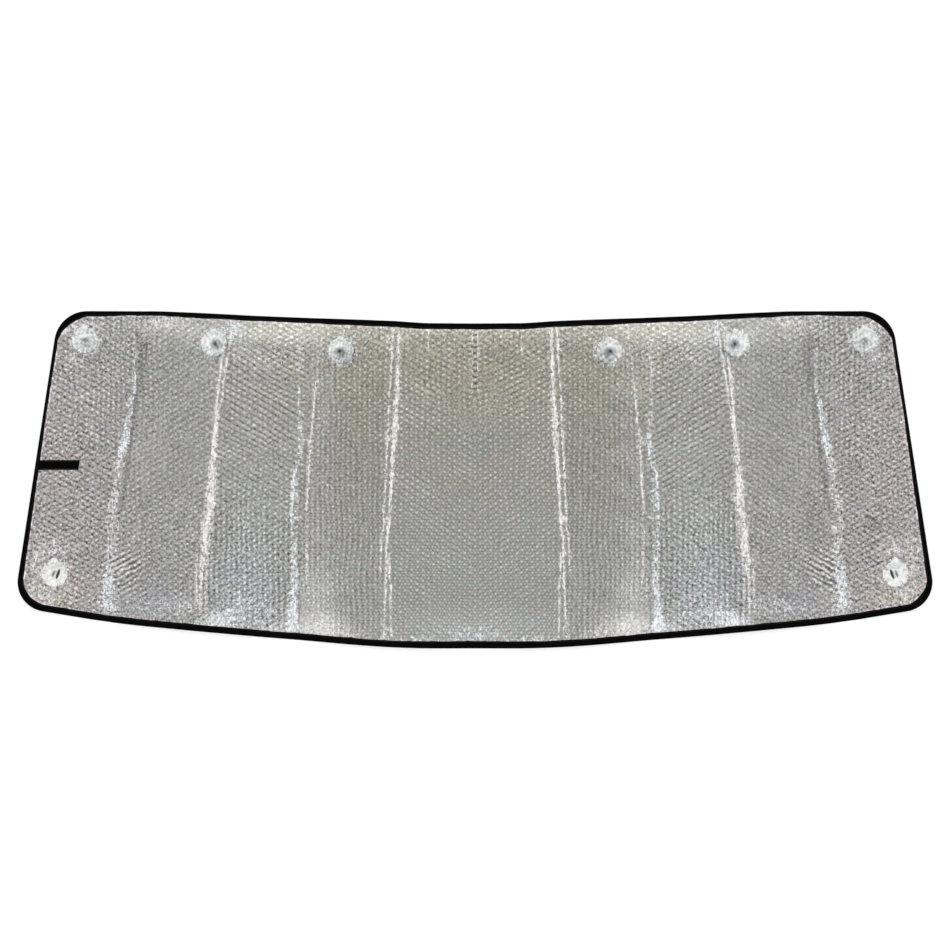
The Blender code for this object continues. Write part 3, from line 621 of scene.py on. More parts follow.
def edge_depths(x, y):
    """Distances inside the side, the top edge and the bottom edge."""
    x = np.abs(x)
    return (
        (side_x(y) - x) / SIDE_LEAN,
        (top_edge(x) - y) / np.hypot(1.0, edge_slope(top_edge, x)),
        (y - bottom_edge(x)) / np.hypot(1.0, edge_slope(bottom_edge, x)),
    )


def depth_inside(x, y):
    """How far a point lies inside the outline, round its corners too."""
    x = np.abs(x)
    depth = np.minimum.reduce(edge_depths(x, y))
    for corner in (LOW_CORNER, HIGH_CORNER):
        _, in_arc = corner.share(x, y)
        depth = np.where(in_arc, corner.radius - np.hypot(x - corner.x, y - corner.y), depth)
    return depth


def tape_width_at(x, y):
    """Visible width of the tape beside a point near the outline."""
    x = np.abs(x)
    side, top, bottom = edge_depths(x, y)
    along_edge = np.where(
        top < bottom, width_along(TOP_TAPE_WIDTHS, x), width_along(BOTTOM_TAPE_WIDTHS, x)
    )
    width = np.where(side < np.minimum(top, bottom), width_along(SIDE_TAPE_WIDTHS, y), along_edge)
    for corner in (LOW_CORNER, HIGH_CORNER):
        share, in_arc = corner.share(x, y)
        wide = between(corner.edge_width, corner.side_width, share)
        wide = wide + corner.bulge * np.sin(math.pi * share)
        width = np.where(in_arc, wide, width)
    return width


def ripple(x, y, wavelength, seed, waves=12):
    """Smooth waviness without a pattern, mostly between -1 and 1."""
    random = np.random.default_rng(seed)
    total = 0.0
    for _ in range(waves):
        angle, phase = random.uniform(0, math.tau, 2)
        length = wavelength * random.uniform(0.5, 1.5)
        across = x * math.cos(angle) + y * math.sin(angle)
        total = total + np.sin(math.tau * across / length + phase)
    return total / math.sqrt(waves)


def patchy(x, y, seed, middle, strength, length, most, waves=12):
    """An uneven strength about a middle value, from 0 to a most."""
    return np.clip(middle + strength * ripple(x, y, length, seed, waves), 0, most)


def outline_stations(step):
    """Points round the outline at even steps, anticlockwise, their inward directions and lengths."""
    fine = 600
    bottom = np.linspace(0.0, LOW_CORNER.at(LOW_CORNER.edge_angle)[0], fine)
    top = np.linspace(HIGH_CORNER.at(HIGH_CORNER.edge_angle)[0], 0.0, fine)
    low_arc = LOW_CORNER.at(np.linspace(LOW_CORNER.edge_angle, LOW_CORNER.side_angle, fine)[1:])
    high_arc = HIGH_CORNER.at(np.linspace(HIGH_CORNER.side_angle, HIGH_CORNER.edge_angle, fine))
    xs = np.concatenate((bottom, low_arc[0], high_arc[0], top[1:]))
    ys = np.concatenate((bottom_edge(bottom), low_arc[1], high_arc[1], top_edge(top[1:])))
    xs = np.concatenate((xs, -xs[-2:0:-1], xs[:1]))
    ys = np.concatenate((ys, ys[-2:0:-1], ys[:1]))
    lengths = np.concatenate(([0.0], np.cumsum(np.hypot(np.diff(xs), np.diff(ys)))))
    count = 2 * int(round(lengths[-1] / step / 2))
    places = np.arange(count) * lengths[-1] / count
    reach = 0.002

    def at(place):
        place = place % lengths[-1]
        return np.array((np.interp(place, lengths, xs), np.interp(place, lengths, ys)))

    points = at(places)
    ahead = at(places + reach) - at(places - reach)
    ahead /= np.hypot(*ahead)
    inward = np.array((-ahead[1], ahead[0]))
    return points.T, inward.T, places


class Cup:
    """One suction cup's place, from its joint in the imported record."""

    def __init__(self, joint):
        self.body = joint["child"]
        self.node = "suction_" + self.body
        self.number = int(self.body[-1])
        self.twin = MIRRORED_CUPS.get(self.body, self.body)
        self.seat = Vector(joint["pos_m"])
        self.axis = Vector(joint["axis"]).normalized()
        self.outward = math.copysign(1.0, self.seat.x)
        self.slit = self.body in BOTTOM_CUP_BODIES

    def hole(self, count=18):
        """The neck's hole: round, or a slit held open as a pointed oval."""
        half_width = NECK_RADIUS + NECK_CLEARANCE
        angle = np.linspace(0.0, math.tau, count, endpoint=False)
        across, along = half_width * np.cos(angle), half_width * np.sin(angle)
        if self.slit:
            along = along * SLIT_LENGTH / (2 * half_width)
            across = across * (1.0 - SLIT_POINTEDNESS * np.abs(np.sin(angle)))
            across, along = turned(across, along, -self.outward * SLIT_LEAN)
        return np.column_stack((self.seat.x + across, self.seat.y + along))


CUPS = [Cup(joint) for joint in frame["joints"]]


def cup_distance(x, y):
    """Distance to the axis of the nearest suction cup."""
    return np.min([np.hypot(x - cup.seat.x, y - cup.seat.y) for cup in CUPS], axis=0)


def stretch(x, y):
    """How far the film's own even rows are pulled aside at each point."""
    half = np.abs(x)
    aside = STRETCH * ripple(half, y, STRETCH_WAVE, 41, waves=8) * soft_step(half / STRETCH_FREE)
    return np.sign(x) * aside, STRETCH * ripple(half, y, STRETCH_WAVE, 42, waves=8)


def unstretched(rows_x, rows_y):
    """Where points of the even rows come to lie on the opened shade."""
    x, y = rows_x, rows_y
    for _ in range(8):
        aside, up = stretch(x, y)
        x, y = rows_x - aside, rows_y - up
    return x, y


def painted_row_light_at(x, y):
    """Painted row waves of light and shade, and highlight dots: their depths, and how speckled the film
    is.
    """
    total = np.full_like(x, 1e-6)
    waves = np.zeros(x.shape + (3,))
    fine = np.zeros(x.shape + (2,))
    for *spot, depths, dots, specks in PAINTED_ROW_LIGHT:
        weight = spot_at(x, y, *spot) + 1e-7
        total = total + weight
        waves = waves + weight[..., None] * np.array(depths)
        fine = fine + weight[..., None] * np.array((dots, specks))
    return waves / total[..., None], fine / total[..., None]


def bubble_domes(x, y):
    """Height share of the bubble over each point: some are plump, some slack, some lopsided."""
    aside, up = stretch(x, y)
    x, y = x + aside, y + up
    column = np.rint(x / BUBBLE_COLUMN) + np.array([[-1], [0], [1]])
    shift = 0.5 * (column % 2)
    row = np.rint(y / BUBBLE_PITCH - shift)
    along, up = x - column * BUBBLE_COLUMN, y - (row + shift) * BUBBLE_PITCH
    nearest = np.argmin(np.hypot(along, up), axis=0), np.arange(len(x))
    column, row, along, up = (part[nearest] for part in (column, row, along, up))
    size = (2 * LAST_COLUMN + 5, 2 * LAST_ROW + 5)
    random = np.random.default_rng(11)
    place = (column.astype(int) % size[0], row.astype(int) % size[1])
    fullness = np.clip(random.normal(*BUBBLE_FULLNESS, size), *FULLNESS_LIMITS)[place]
    lean_x, lean_y = (random.normal(0.0, BUBBLE_TILT, size)[place] for _ in range(2))
    dome = np.clip(1.0 - (np.hypot(along, up) / BUBBLE_REACH) ** 3, 0.0, 1.0)
    return dome * (fullness + (along * lean_x + up * lean_y) / BUBBLE_HEIGHT)


class Welt:
    """A crumple along a fold, raised and painted bright as a highlight, with its own small jags."""

    def __init__(self, index, tint, points):
        self.index, self.tint = index, np.array(tint)
        *lengths, self.strengths = np.array(points[::-1]).T
        self.heights, self.distances, self.widths = np.array(lengths) / 1000
        self.bottom, self.top = self.heights[0], self.heights[-1]

    def line(self, y):
        place = np.interp(y, self.heights, self.distances)
        for seed, (strength, length) in enumerate(JAGS, 700 + 2 * self.index):
            place = place + strength * ripple(y, 0 * y, length, seed, waves=6)
        return place

    def half_width(self, y):
        return np.interp(y, self.heights, self.widths)

    def at(self, x, y):
        """How strongly points lie on the welt."""
        def uneven(strength, length, seed, waves=8):
            return strength * ripple(x, y, length, seed + self.index, waves)

        swell = np.clip(1.0 + uneven(*SWELLING, 400), 0.5, 1.8)
        away = np.abs(np.abs(x) - self.line(y)) / (self.half_width(y) * swell)
        ends = soft_span(y, self.bottom, self.top, END_MARGIN, END_RAMP)
        patches = 0.92 + uneven(*LONG_PATCHES, 500) + uneven(*SHORT_PATCHES, 600, waves=10)
        strength = np.interp(y, self.heights, self.strengths) * np.clip(patches, 0.25, 1.3)
        return strength * ends * soft_step((WELT_EDGE - away) / WELT_EDGE_RAMP)


ALL_WELTS = [Welt(index, tint, points) for index, (tint, points) in enumerate(WELTS)]


def welts_at(x, y):
    """How much each point lies on a welt's painted highlight, and the tint there."""
    amount, tint = np.zeros_like(x), np.ones(x.shape + (3,))
    for welt in ALL_WELTS:
        amount, tint = take_stronger(amount, tint, welt.at(x, y), welt.tint)
    return amount, tint


def painted_fold_shade_at(x, y):
    """How much of the light the painted shade of the bands beside the folds keeps."""
    kept = np.ones_like(x)
    for dimmer, points in PAINTED_FOLD_SHADES:
        heights, distances, widths = np.array(points[::-1]).T
        away = (np.abs(x) - np.interp(y, heights, distances)) / np.interp(y, heights, widths)
        ends = soft_span(y, heights[0], heights[-1], SHADE_MARGIN, SHADE_RAMP)
        kept = kept * (1 - dimmer * ends * bell(away))
    return kept


def pressed_at(x, y):
    """How flat the folds have pressed the bubbles."""
    x = np.abs(x)
    flat = np.zeros_like(x)
    for line, _ in fold_lines(y)[1:-1]:
        flat = np.maximum(flat, soft_step(CREASE_REACH - np.abs(x - line) / FOLD_CRUSH_WIDTH))
    for rows, strength in PRESSED_BANDS:
        heights, inner, outer = np.array(rows[::-1]).T
        inner_x, outer_x = np.interp(y, heights, inner), np.interp(y, heights, outer)
        within = np.minimum(x - inner_x, outer_x - x) / PRESSED_RAMP + 1.0
        ends = soft_span(y, heights[0], heights[-1], END_MARGIN, END_RAMP)
        flat = np.maximum(flat, strength * ends * soft_step(within))
    return flat


class Film:
    """Everything about the film at a set of points: how it is pressed and waved, and the light and shade
    painted on it.
    """

    def __init__(self, x, y):
        self.x, self.y = x, y
        self.middle = soft_relief(x, y)
        self.dome = bubble_domes(x, y)
        self.depth = depth_inside(x, y)
        self.past_tape = self.depth - tape_width_at(x, y)
        self.sewn = faded(self.past_tape, SEWN_MARGIN, CRUSH_RAMP)
        self.puckered = bell((self.past_tape - PUCKER_PLACE) / PUCKER_WIDTH)
        self.pressed = pressed_at(x, y)
        self.welt, self.welt_tint = welts_at(x, y)
        self.welt = self.welt * soft_step(self.past_tape / WELT_FADE)
        cup_away = cup_distance(x, y)
        self.halo = bell((cup_away - CUP_HALO) / CUP_HALO_WIDTH)
        self.seat = faded(cup_away, SEAT_RADIUS, SEAT_RAMP)
        past_strap = np.maximum(
            np.abs(y - STRAP_ABOVE_MIDDLE) - STRAP_WIDTH / 2,
            (side_x(y) + x) / SIDE_LEAN - (STRAP_TAPE_WIDTH + STRAP_VISIBLE_LENGTH),
        )
        self.strap = (x < 0) * faded(past_strap, -PRINT_MARGIN, PRINT_RAMP)
        self.free = 1.0 - (x < 0) * faded(past_strap, 0.0, FREE_OF_STRAP)
        for away, (start, ramp) in ((self.past_tape, FREE_OF_TAPE), (cup_away, FREE_OF_CUP)):
            self.free = self.free * soft_step((away - start) / ramp)

    def wave(self):
        """Slow waves of the whole sheet, and small crumples where it is gathered at the tape."""
        slow = sum(
            height * ripple(self.x, self.y, length, seed)
            for seed, (height, length) in enumerate(SHEET_WAVES, 3)
        )
        fine = PUCKER_HEIGHT * ripple(self.x, self.y, PUCKER_LENGTH, 5, waves=16)
        board = WASHBOARD_HEIGHT * self.washboard()
        beside_tape = soft_step((self.past_tape + PUCKER_MARGIN) / PUCKER_RAMP)
        return slow * self.free + fine * self.puckered * beside_tape * (1 - self.seat) + board

    def washboard(self):
        """The slanted wrinkles, between -1 and 1."""
        place_x, place_y = (value / 1000 for value in WASHBOARD_SPOT[:2])
        along, _ = turned(np.abs(self.x) - place_x, self.y - place_y, WASHBOARD_LEAN)
        wander = ripple(self.x, self.y, WASHBOARD_WANDER_LENGTH, 23, waves=8)
        along = along + WASHBOARD_WANDER * wander
        spot = spot_at(self.x, self.y, *WASHBOARD_SPOT)
        return spot * np.sin(math.tau * along / WASHBOARD_STEP)

    def height(self, side):
        """Height of the film's front face (1) or back face (-1)."""
        if side > 0:
            full = FRONT_HEIGHT - BUBBLE_HEIGHT + BUBBLE_HEIGHT * self.dome
        else:
            full = -FRONT_HEIGHT + BACK_PRINT_DEPTH * self.dome
        level = between(full, side * CREASE_HALF_THICKNESS, self.pressed)
        if side > 0:
            level = level + WELT_HEIGHT * self.welt
            level = between(level, UNDER_STRAP_HEIGHT, PRINT_DEPTH * self.strap)
        level = between(level, side * FRONT_HEIGHT, self.seat)
        level = between(level, side * SEWN_HALF_THICKNESS, self.sewn)
        return self.middle + level + self.wave()

    def rows(self):
        """Each point's place on the film's own even rows, alike on both halves."""
        aside, up = stretch(self.x, self.y)
        half = np.abs(self.x + aside)
        bend = ARC_BEND * bell((self.y - ARC_HEIGHT) / ARC_REACH)
        up = up + (half - np.hypot(half, bend)) / math.sqrt(3)
        return np.column_stack((half, self.y + up - GLINT_RISE, 0 * self.x))

    def weave(self):
        """Depths of the painted row waves, less where the film is pressed, and of the highlight dots and
        specks.
        """
        waves, fine = painted_row_light_at(self.x, self.y)
        standing = 1.0
        for loss, held in zip(ROW_LIGHT_LOSSES, (self.pressed, self.sewn, self.seat)):
            standing = standing * (1 - loss * held)
        return waves * standing[..., None], fine[..., 0] * standing, fine[..., 1]

    def rungs(self):
        """The middle's painted ladder: 1 in its bright gaps, -1 in its dark diamonds, painted highlight
        and shade.
        """
        ends = soft_step((LADDER_TOP - self.y) / RUNG_ENDS[0])
        ends = ends * soft_step((self.y - LADDER_FOOT) / RUNG_ENDS[1])
        return -ends * bell(self.x / RUNG_HALF_WIDTH) * np.cos(math.tau * self.y / LADDER_STEP)

    def colour(self):
        """The film's painted reflections and shade, the strength of its painted highlights, and their
        tint.
        """
        x, y = self.x, self.y
        tint = np.ones(x.shape + (3,))
        for *spot, colour in PAINTED_REFLECTIONS:
            tint = tint * (1 + spot_at(x, y, *spot)[..., None] * (np.array(colour) - 1))
        # Painted light and shade on the slanted wrinkles
        board = np.maximum(1 + WASHBOARD_GLARE * self.washboard(), DARKEST_WRINKLE)
        rungs = self.rungs()
        # The ladder's dark diamonds, painted shade
        dark = np.clip(1 + RUNG_DARKNESS * np.minimum(rungs, 0), DARKEST_RUNG, 1)
        tint = tint * (painted_fold_shade_at(x, y) * board * dark)[..., None]
        bright = np.maximum.reduce((self.welt, HALO_GLARE * self.halo, RUNG_GLARE * rungs))
        bright_tint = self.welt_tint
        uneven = patchy(x, y, 21, *PATCH_UNEVENNESS)
        for *spot, strength, colour in GLARE_PATCHES:
            patch = strength * spot_at(x, y, *spot) * uneven
            bright, bright_tint = take_stronger(bright, bright_tint, patch, colour)
        glint = bell((self.past_tape - EDGE_GLINT_DEPTH) / EDGE_GLINT_DEPTH)
        on_side = soft_step((np.abs(x) - SIDE_GLARE_START) / SIDE_GLARE_RAMP)
        glint = glint * between(EDGE_GLARE, SIDE_GLARE, on_side)
        glint = glint * patchy(x, y, 22, *GLINT_UNEVENNESS)
        bright, bright_tint = take_stronger(bright, bright_tint, glint, PINK)
        bright = np.clip(bright, 0, BRIGHTEST)
        kept = 1 - GLARE_LOSS * np.minimum(bright, 1.0)
        return tint * kept[..., None], bright, bright_tint

    def looks(self):
        """What the material reads at each point."""
        tint, bright, bright_tint = self.colour()
        weave, dots, specks = self.weave()
        return {
            "film_painted_light": tint, "film_painted_highlight": bright, "film_painted_highlight_tint": bright_tint,
            "film_rows": self.rows(), "film_painted_row_light": weave, "film_highlight_dots": dots, "film_specks": specks,
        }


def bubble_points(with_rings):
    """Centres of the bubbles, rings on their domes, and the low points between them."""
    columns = np.arange(-LAST_COLUMN, LAST_COLUMN + 1)
    rows = np.arange(-LAST_ROW, LAST_ROW + 1)
    column, row = np.meshgrid(columns, rows)
    x = (column * BUBBLE_COLUMN).ravel()
    y = ((row + 0.5 * (column % 2)) * BUBBLE_PITCH).ravel()
    places = [(x, y), (x + BUBBLE_LOW_POINT, y), (x - BUBBLE_LOW_POINT, y)]
    if with_rings:
        for k in range(6):
            angle = (k + 0.5) * math.pi / 3
            reaches = (BUBBLE_RING, BUBBLE_PITCH / 2) if k < 3 else (BUBBLE_RING,)
            for reach in reaches:
                places.append((x + reach * math.cos(angle), y + reach * math.sin(angle)))
    rows_x, rows_y = (np.concatenate(part) for part in zip(*places))
    return np.column_stack(unstretched(rows_x, rows_y))


def welt_points():
    """Rows of points along each welt, on both halves."""
    rows = []
    for welt in ALL_WELTS:
        y = np.arange(welt.bottom, welt.top, WELT_STEP)
        for k, share in enumerate(WELT_ROWS):
            x = welt.line(y) + share * welt.half_width(y)
            shifted = y + 0.25 * WELT_STEP * (1 if k % 2 else -1)
            rows += [np.column_stack((side * x, shifted)) for side in (1, -1)]
    return np.concatenate(rows)


def clear_of_welts(places):
    x, y = np.abs(places[:, 0]), places[:, 1]
    clear = np.ones(len(places), bool)
    for welt in ALL_WELTS:
        near = np.abs(x - welt.line(y)) < welt.half_width(y) + WELT_CLEARING
        clear &= ~(near & (y < welt.top + WELT_CLEARING) & (y > welt.bottom - WELT_CLEARING))
    return clear


class Blank:
    """Points of one film face, with the closed loops that its triangles must follow."""

    def __init__(self):
        self.places, self.loops, self.count = [], [], 0

    def add(self, places, as_loop=False):
        if as_loop:
            ring = list(range(self.count, self.count + len(places)))
            self.loops += zip(ring, ring[1:] + ring[:1])
        self.places.append(places)
        self.count += len(places)


def film_blank(with_rings):
    """Flat points and triangles of one film face, trimmed to the rim and the neck holes."""
    blank = Blank()
    step, ring_depths = (FRONT_STEP, FRONT_RINGS) if with_rings else (BACK_STEP, BACK_RINGS)
    points, inward, _ = outline_stations(step)
    width = tape_width_at(*points.T)
    blank.add(points + inward * RIM_DEPTH, as_loop=True)
    blank.loops.append((0, len(points) // 2))
    for k, past in enumerate(ring_depths):
        shift = 0.5 * (k % 2) * (np.roll(points, -1, axis=0) - points)
        blank.add(points + shift + inward * (width + past)[:, None])
    for cup in CUPS:
        blank.add(cup.hole(), as_loop=True)
        for k, radius in enumerate(CUP_RINGS):
            angle = np.linspace(0, math.tau, CUP_RING_POINTS, endpoint=False) + 0.15 * k
            ring = np.column_stack((np.cos(angle), np.sin(angle))) * radius
            blank.add(ring + np.array(cup.seat[:2]))
    field = bubble_points(with_rings)
    past = depth_inside(*field.T) - tape_width_at(*field.T)
    keep = (past > ring_depths[-1] + FIELD_MARGIN) & (cup_distance(*field.T) > CUP_CLEARING)
    if with_rings:
        keep &= clear_of_welts(field)
        welts = welt_points()
        past = depth_inside(*welts.T) - tape_width_at(*welts.T)
        blank.add(welts[past > ring_depths[-1] + WELT_MARGIN])
    blank.add(np.unique(np.round(field[keep], 7), axis=0))

    vectors = [Vector(place) for place in np.concatenate(blank.places)]
    made, _, faces, _, _, _ = delaunay_2d_cdt(vectors, blank.loops, [], 0, 1e-7, False)
    flat = np.array([place[:] for place in made])
    faces = np.array([face for face in faces if len(face) == 3])
    centre = flat[faces].mean(axis=1)
    keep = depth_inside(*centre.T) > RIM_DEPTH * 0.98
    for cup in CUPS:
        keep &= ~inside_loop(centre, cup.hole())
    faces = faces[keep]
    a, b = flat[faces[:, 1]] - flat[faces[:, 0]], flat[faces[:, 2]] - flat[faces[:, 0]]
    backwards = a[:, 0] * b[:, 1] - a[:, 1] * b[:, 0] < 0
    faces[backwards] = faces[backwards][:, ::-1]
    used, faces = only_used(faces)
    return flat[used], faces


def only_used(faces):
    """The vertices that faces use, and the faces numbered among those alone."""
    used, corners = np.unique(faces, return_inverse=True)
    return used, corners.reshape(faces.shape)


def inside_loop(points, loop):
    """Which points lie within a small convex loop that runs anticlockwise."""
    inside = np.hypot(*(points - loop.mean(axis=0)).T) < SLIT_LENGTH
    towards = points[inside][:, None] - loop
    ahead = np.roll(loop, -1, axis=0) - loop
    turns = ahead[:, 0] * towards[..., 1] - ahead[:, 1] * towards[..., 0]
    inside[inside] = (turns > 0).all(axis=1)
    return inside


def add_mesh(name, vertices, faces, material):
    mesh = bpy.data.meshes.new(name)
    mesh.from_pydata(vertices.tolist(), [], faces if isinstance(faces, list) else faces.tolist())
    mesh.polygons.foreach_set("use_smooth", [True] * len(mesh.polygons))
    mesh.materials.append(material)
    mesh.update()
    item = bpy.data.objects.new(name, mesh)
    bpy.context.scene.collection.objects.link(item)
    return item


def store(item, name, values):
    """Keeps a number or a colour for each vertex, for the material to read."""
    values = np.asarray(values, np.float32)
    if values.ndim == 1:
        item.data.attributes.new(name, "FLOAT", "POINT").data.foreach_set("value", values)
        return
    colours = np.column_stack((values, np.ones(len(values), np.float32)))
    item.data.attributes.new(name, "FLOAT_COLOR", "POINT").data.foreach_set("color", colours.ravel())


def film_piece(name, vertices, faces, looks, material):
    """One piece of film: some of the triangles, and only the vertices that they use."""
    used, faces = only_used(faces)
    item = add_mesh(name, vertices[used], faces, material)
    for key, values in looks.items():
        store(item, key, values[used])
    return item


def build_film(is_front, material):
    """The front film in two halves that meet at the middle fold, or the whole back film."""
    flat, faces = film_blank(with_rings=is_front)
    film = Film(flat[:, 0], flat[:, 1])
    height = film.height(1 if is_front else -1)
    height = np.where(film.depth < RIM_DEPTH + RIM_MARGIN, film.middle, height)
    vertices, looks = np.column_stack((flat, height)), film.looks()
    if not is_front:
        return [film_piece("bubble_film_back", vertices, faces[:, ::-1], looks, material)]
    left = flat[faces, 0].mean(axis=1) < 0
    return [
        film_piece("bubble_film_front_left", vertices, faces[left], looks, material),
        film_piece("bubble_film_front_right", vertices, faces[~left], looks, material),
    ]


def ring_faces(count, sides, closed=False):
    """Faces between rings of points that follow each other. Closed ones return to the first."""
    i, j = np.meshgrid(np.arange(count if closed else count - 1), np.arange(sides), indexing="ij")
    here, there, after = i * sides, (i + 1) % count * sides, (j + 1) % sides
    return np.stack((here + j, here + after, there + after, there + j), axis=-1).reshape(-1, 4)


def capped_faces(count, sides, base=0):
    """Faces of a solid made of such rings, with a cap on each end."""
    faces = ring_faces(count, sides).tolist()
    faces += [list(range(sides))[::-1], list(range((count - 1) * sides, count * sides))]
    return [[base + corner for corner in face] for face in faces]


def tape_lift(x, y):
    """How far the tape's front leg rises over the strap's root."""
    past_strap = np.abs(y - STRAP_ABOVE_MIDDLE) - STRAP_WIDTH / 2
    on_side = (x < 0) & (edge_depths(x, y)[0] < TAPE_LIFT_REACH)
    return np.where(on_side, STRAP_LIFT * faded(past_strap, TAPE_LIFT_MARGIN, TAPE_LIFT_RAMP), 0.0)


TAPE_STITCH_INSET = 0.0022
TAPE_STITCH_HEIGHT = TAPE_OUTER_HEIGHT - 0.00012


def tape_section(width):
    """The folded tape's section: share of the lift, depth from the edge and height, in order."""
    inner, outer = TAPE_INNER_HEIGHT, TAPE_OUTER_HEIGHT
    stitch = width - TAPE_STITCH_INSET
    front = [
        (1, width, inner),
        (1, width + 0.00012, between(inner, outer, 0.5)),
        (1, width - 0.0002, outer - 0.00006),
        (1, stitch + 0.0008, outer - 0.00004),
        (1, stitch, outer - 0.00022),
        (1, stitch - 0.0008, outer - 0.00004),
        (1, width * 0.5, outer),
        (0.9, width * 0.27, outer - 0.00008),
        (0.6, 0.0009, outer - 0.00035),
        (0.2, 0.0002, 0.0007),
        (0, 0.0, 0.0),
    ]
    back = [(0, depth, -height) for _, depth, height in reversed(front[:-1])]
    inside = [(0, TAPE_THICKNESS, -inner), (1, TAPE_THICKNESS, inner)]
    return front + back + inside


def build_tape(material):
    points, inward, places = outline_stations(TAPE_STEP)
    wander = sum(
        strength * ripple(places, 0 * places, length, seed)
        for seed, (strength, length) in enumerate(TAPE_WANDER, 31)
    )
    width = tape_width_at(*points.T) + wander
    rings = []
    for lift_share, depth, height in tape_section(width):
        depth = depth + 0 * width
        x, y = (points + inward * depth[:, None]).T
        z = relief(x, y) + height + lift_share * tape_lift(x, y)
        if lift_share and height > 0:
            z = z + TAPE_RIPPLE * ripple(places, depth, TAPE_RIPPLE_LENGTH, 33)
        rings.append(np.column_stack((x, y, z)))
    rings = np.stack(rings, axis=1)
    steps = np.linalg.norm(np.diff(rings, axis=1), axis=2)
    across = np.column_stack((np.zeros(len(points)), np.cumsum(steps, axis=1)))
    count, sides, _ = rings.shape
    faces = ring_faces(count, sides, closed=True)[:, ::-1]
    item = add_mesh("edge_tape", rings.reshape(-1, 3), faces, material)
    store(item, "woven_along", np.repeat(places, sides))
    store(item, "woven_across", across.ravel())
    return item


STITCH_LENGTH = 0.0025
STITCH_STEP = 0.0031
THREAD_RADIUS = 0.00023

# A stitch's rings: share along it, then height over the cloth and girth in thread radii
STITCH_RINGS = ((0, -1.0, 0.7), (0.18, 0.1, 1.0), (0.5, 0.75, 1.0), (0.82, 0.1, 1.0), (1, -1.0, 0.7))
STITCH_SIDES = 5


def thread_run(start, end, up):
    """One stitch: rings of a short arched tube whose ends dip into the cloth."""
    side = (end - start).normalized().cross(up).normalized()
    vertices = []
    for share, height, girth in STITCH_RINGS:
        centre = start.lerp(end, share) + up * THREAD_RADIUS * height
        for k in range(STITCH_SIDES):
            angle = math.tau * k / STITCH_SIDES
            out = side * math.cos(angle) + up * math.sin(angle)
            vertices.append((centre + out * THREAD_RADIUS * girth)[:])
    return vertices


def build_stitches(name, runs, material):
    """Many short thread runs as one piece. Each run is (start, end, up)."""
    vertices, faces = [], []
    for run in runs:
        faces += capped_faces(len(STITCH_RINGS), STITCH_SIDES, base=len(vertices))
        vertices += thread_run(*run)
    return add_mesh(name, np.array(vertices), faces, material)


def tape_stitch_runs(side):
    """Lockstitches along the tape's inner edge, on its front (1) or back (-1) leg."""
    points, inward, _ = outline_stations(STITCH_STEP)
    line = points + inward * (tape_width_at(*points.T) - TAPE_STITCH_INSET)[:, None]
    ends = line + (np.roll(line, -1, axis=0) - line) * (STITCH_LENGTH / STITCH_STEP)

    def raised(place):
        x, y = place.T
        lift = tape_lift(x, y) if side > 0 else 0.0
        return np.column_stack((place, relief(x, y) + side * TAPE_STITCH_HEIGHT + lift))

    up = Vector((0, 0, side))
    return [(Vector(a), Vector(b), up) for a, b in zip(raised(line), raised(ends))]


def strap_point(depth, across, rise):
    """A point above the strap's underside, which lies on the film with a small gap."""
    y = STRAP_ABOVE_MIDDLE + across
    x = -(side_x(y) - depth)
    share = soft_step((depth - STRAP_TAPE_WIDTH - SEWN_MARGIN) / CRUSH_RAMP)
    level = between(SEWN_HALF_THICKNESS, FRONT_HEIGHT, share)
    return x, y, float(relief(np.array(x), np.array(y)) + level + SEWN_GAP) + rise


STRAP_RIB_STEP = 0.0013
STRAP_RIB_HEIGHT, RIB_ALLOWANCE = 0.00007, 0.0001
STRAP_STITCH_INSET = 0.0026
STRAP_STITCH_MARGIN = 0.002
STRAP_END_ROUNDING = 0.0008
STRAP_END_THICKNESS = 0.55

# The strap's selvedge: distance from its edge and share of the thickness
SELVEDGE = ((0.0, 0.35), (0.0002, 0.75), (0.0005, 0.97))
SELVEDGE_WIDTH, UNDERSIDE_INSET = 0.0014, 0.0003


def build_strap(material):
    """Ribbed webbing, its root under the tape and its free end cut parallel to the side."""
    start, end = STRAP_TAPE_WIDTH - STRAP_TUCK, STRAP_TAPE_WIDTH + STRAP_VISIBLE_LENGTH
    depths = np.linspace(start, end, int((end - start) / (STRAP_RIB_STEP / 4)) + 1)
    half = STRAP_WIDTH / 2
    flat, under = half - SELVEDGE_WIDTH, half - UNDERSIDE_INSET
    section = [(inset - half, share) for inset, share in SELVEDGE]
    section += [(between(-flat, flat, i / 12), 1.0) for i in range(13)]
    section += [(half - inset, share) for inset, share in reversed(SELVEDGE)]
    section += [(under, 0.0), (0.0, 0.0), (-under, 0.0)]
    vertices = []
    for depth in depths:
        rib = STRAP_RIB_HEIGHT * math.cos(math.tau * depth / STRAP_RIB_STEP)
        past = max(0.0, 1 - (end - depth) / STRAP_END_ROUNDING)
        end_round = between(STRAP_END_THICKNESS, 1.0, math.sqrt(max(0.0, 1 - past**2)))
        for across, share in section:
            thickness = (STRAP_THICKNESS - RIB_ALLOWANCE + rib * (share > 0.9)) * end_round
            vertices.append(strap_point(depth, across, share * thickness))
    faces = capped_faces(len(depths), len(section))
    item = add_mesh("closure_webbing", np.array(vertices), faces, material)
    store(item, "woven_along", np.repeat(depths, len(section)))
    store(item, "woven_across", [across for across, _ in section] * len(depths))
    return item


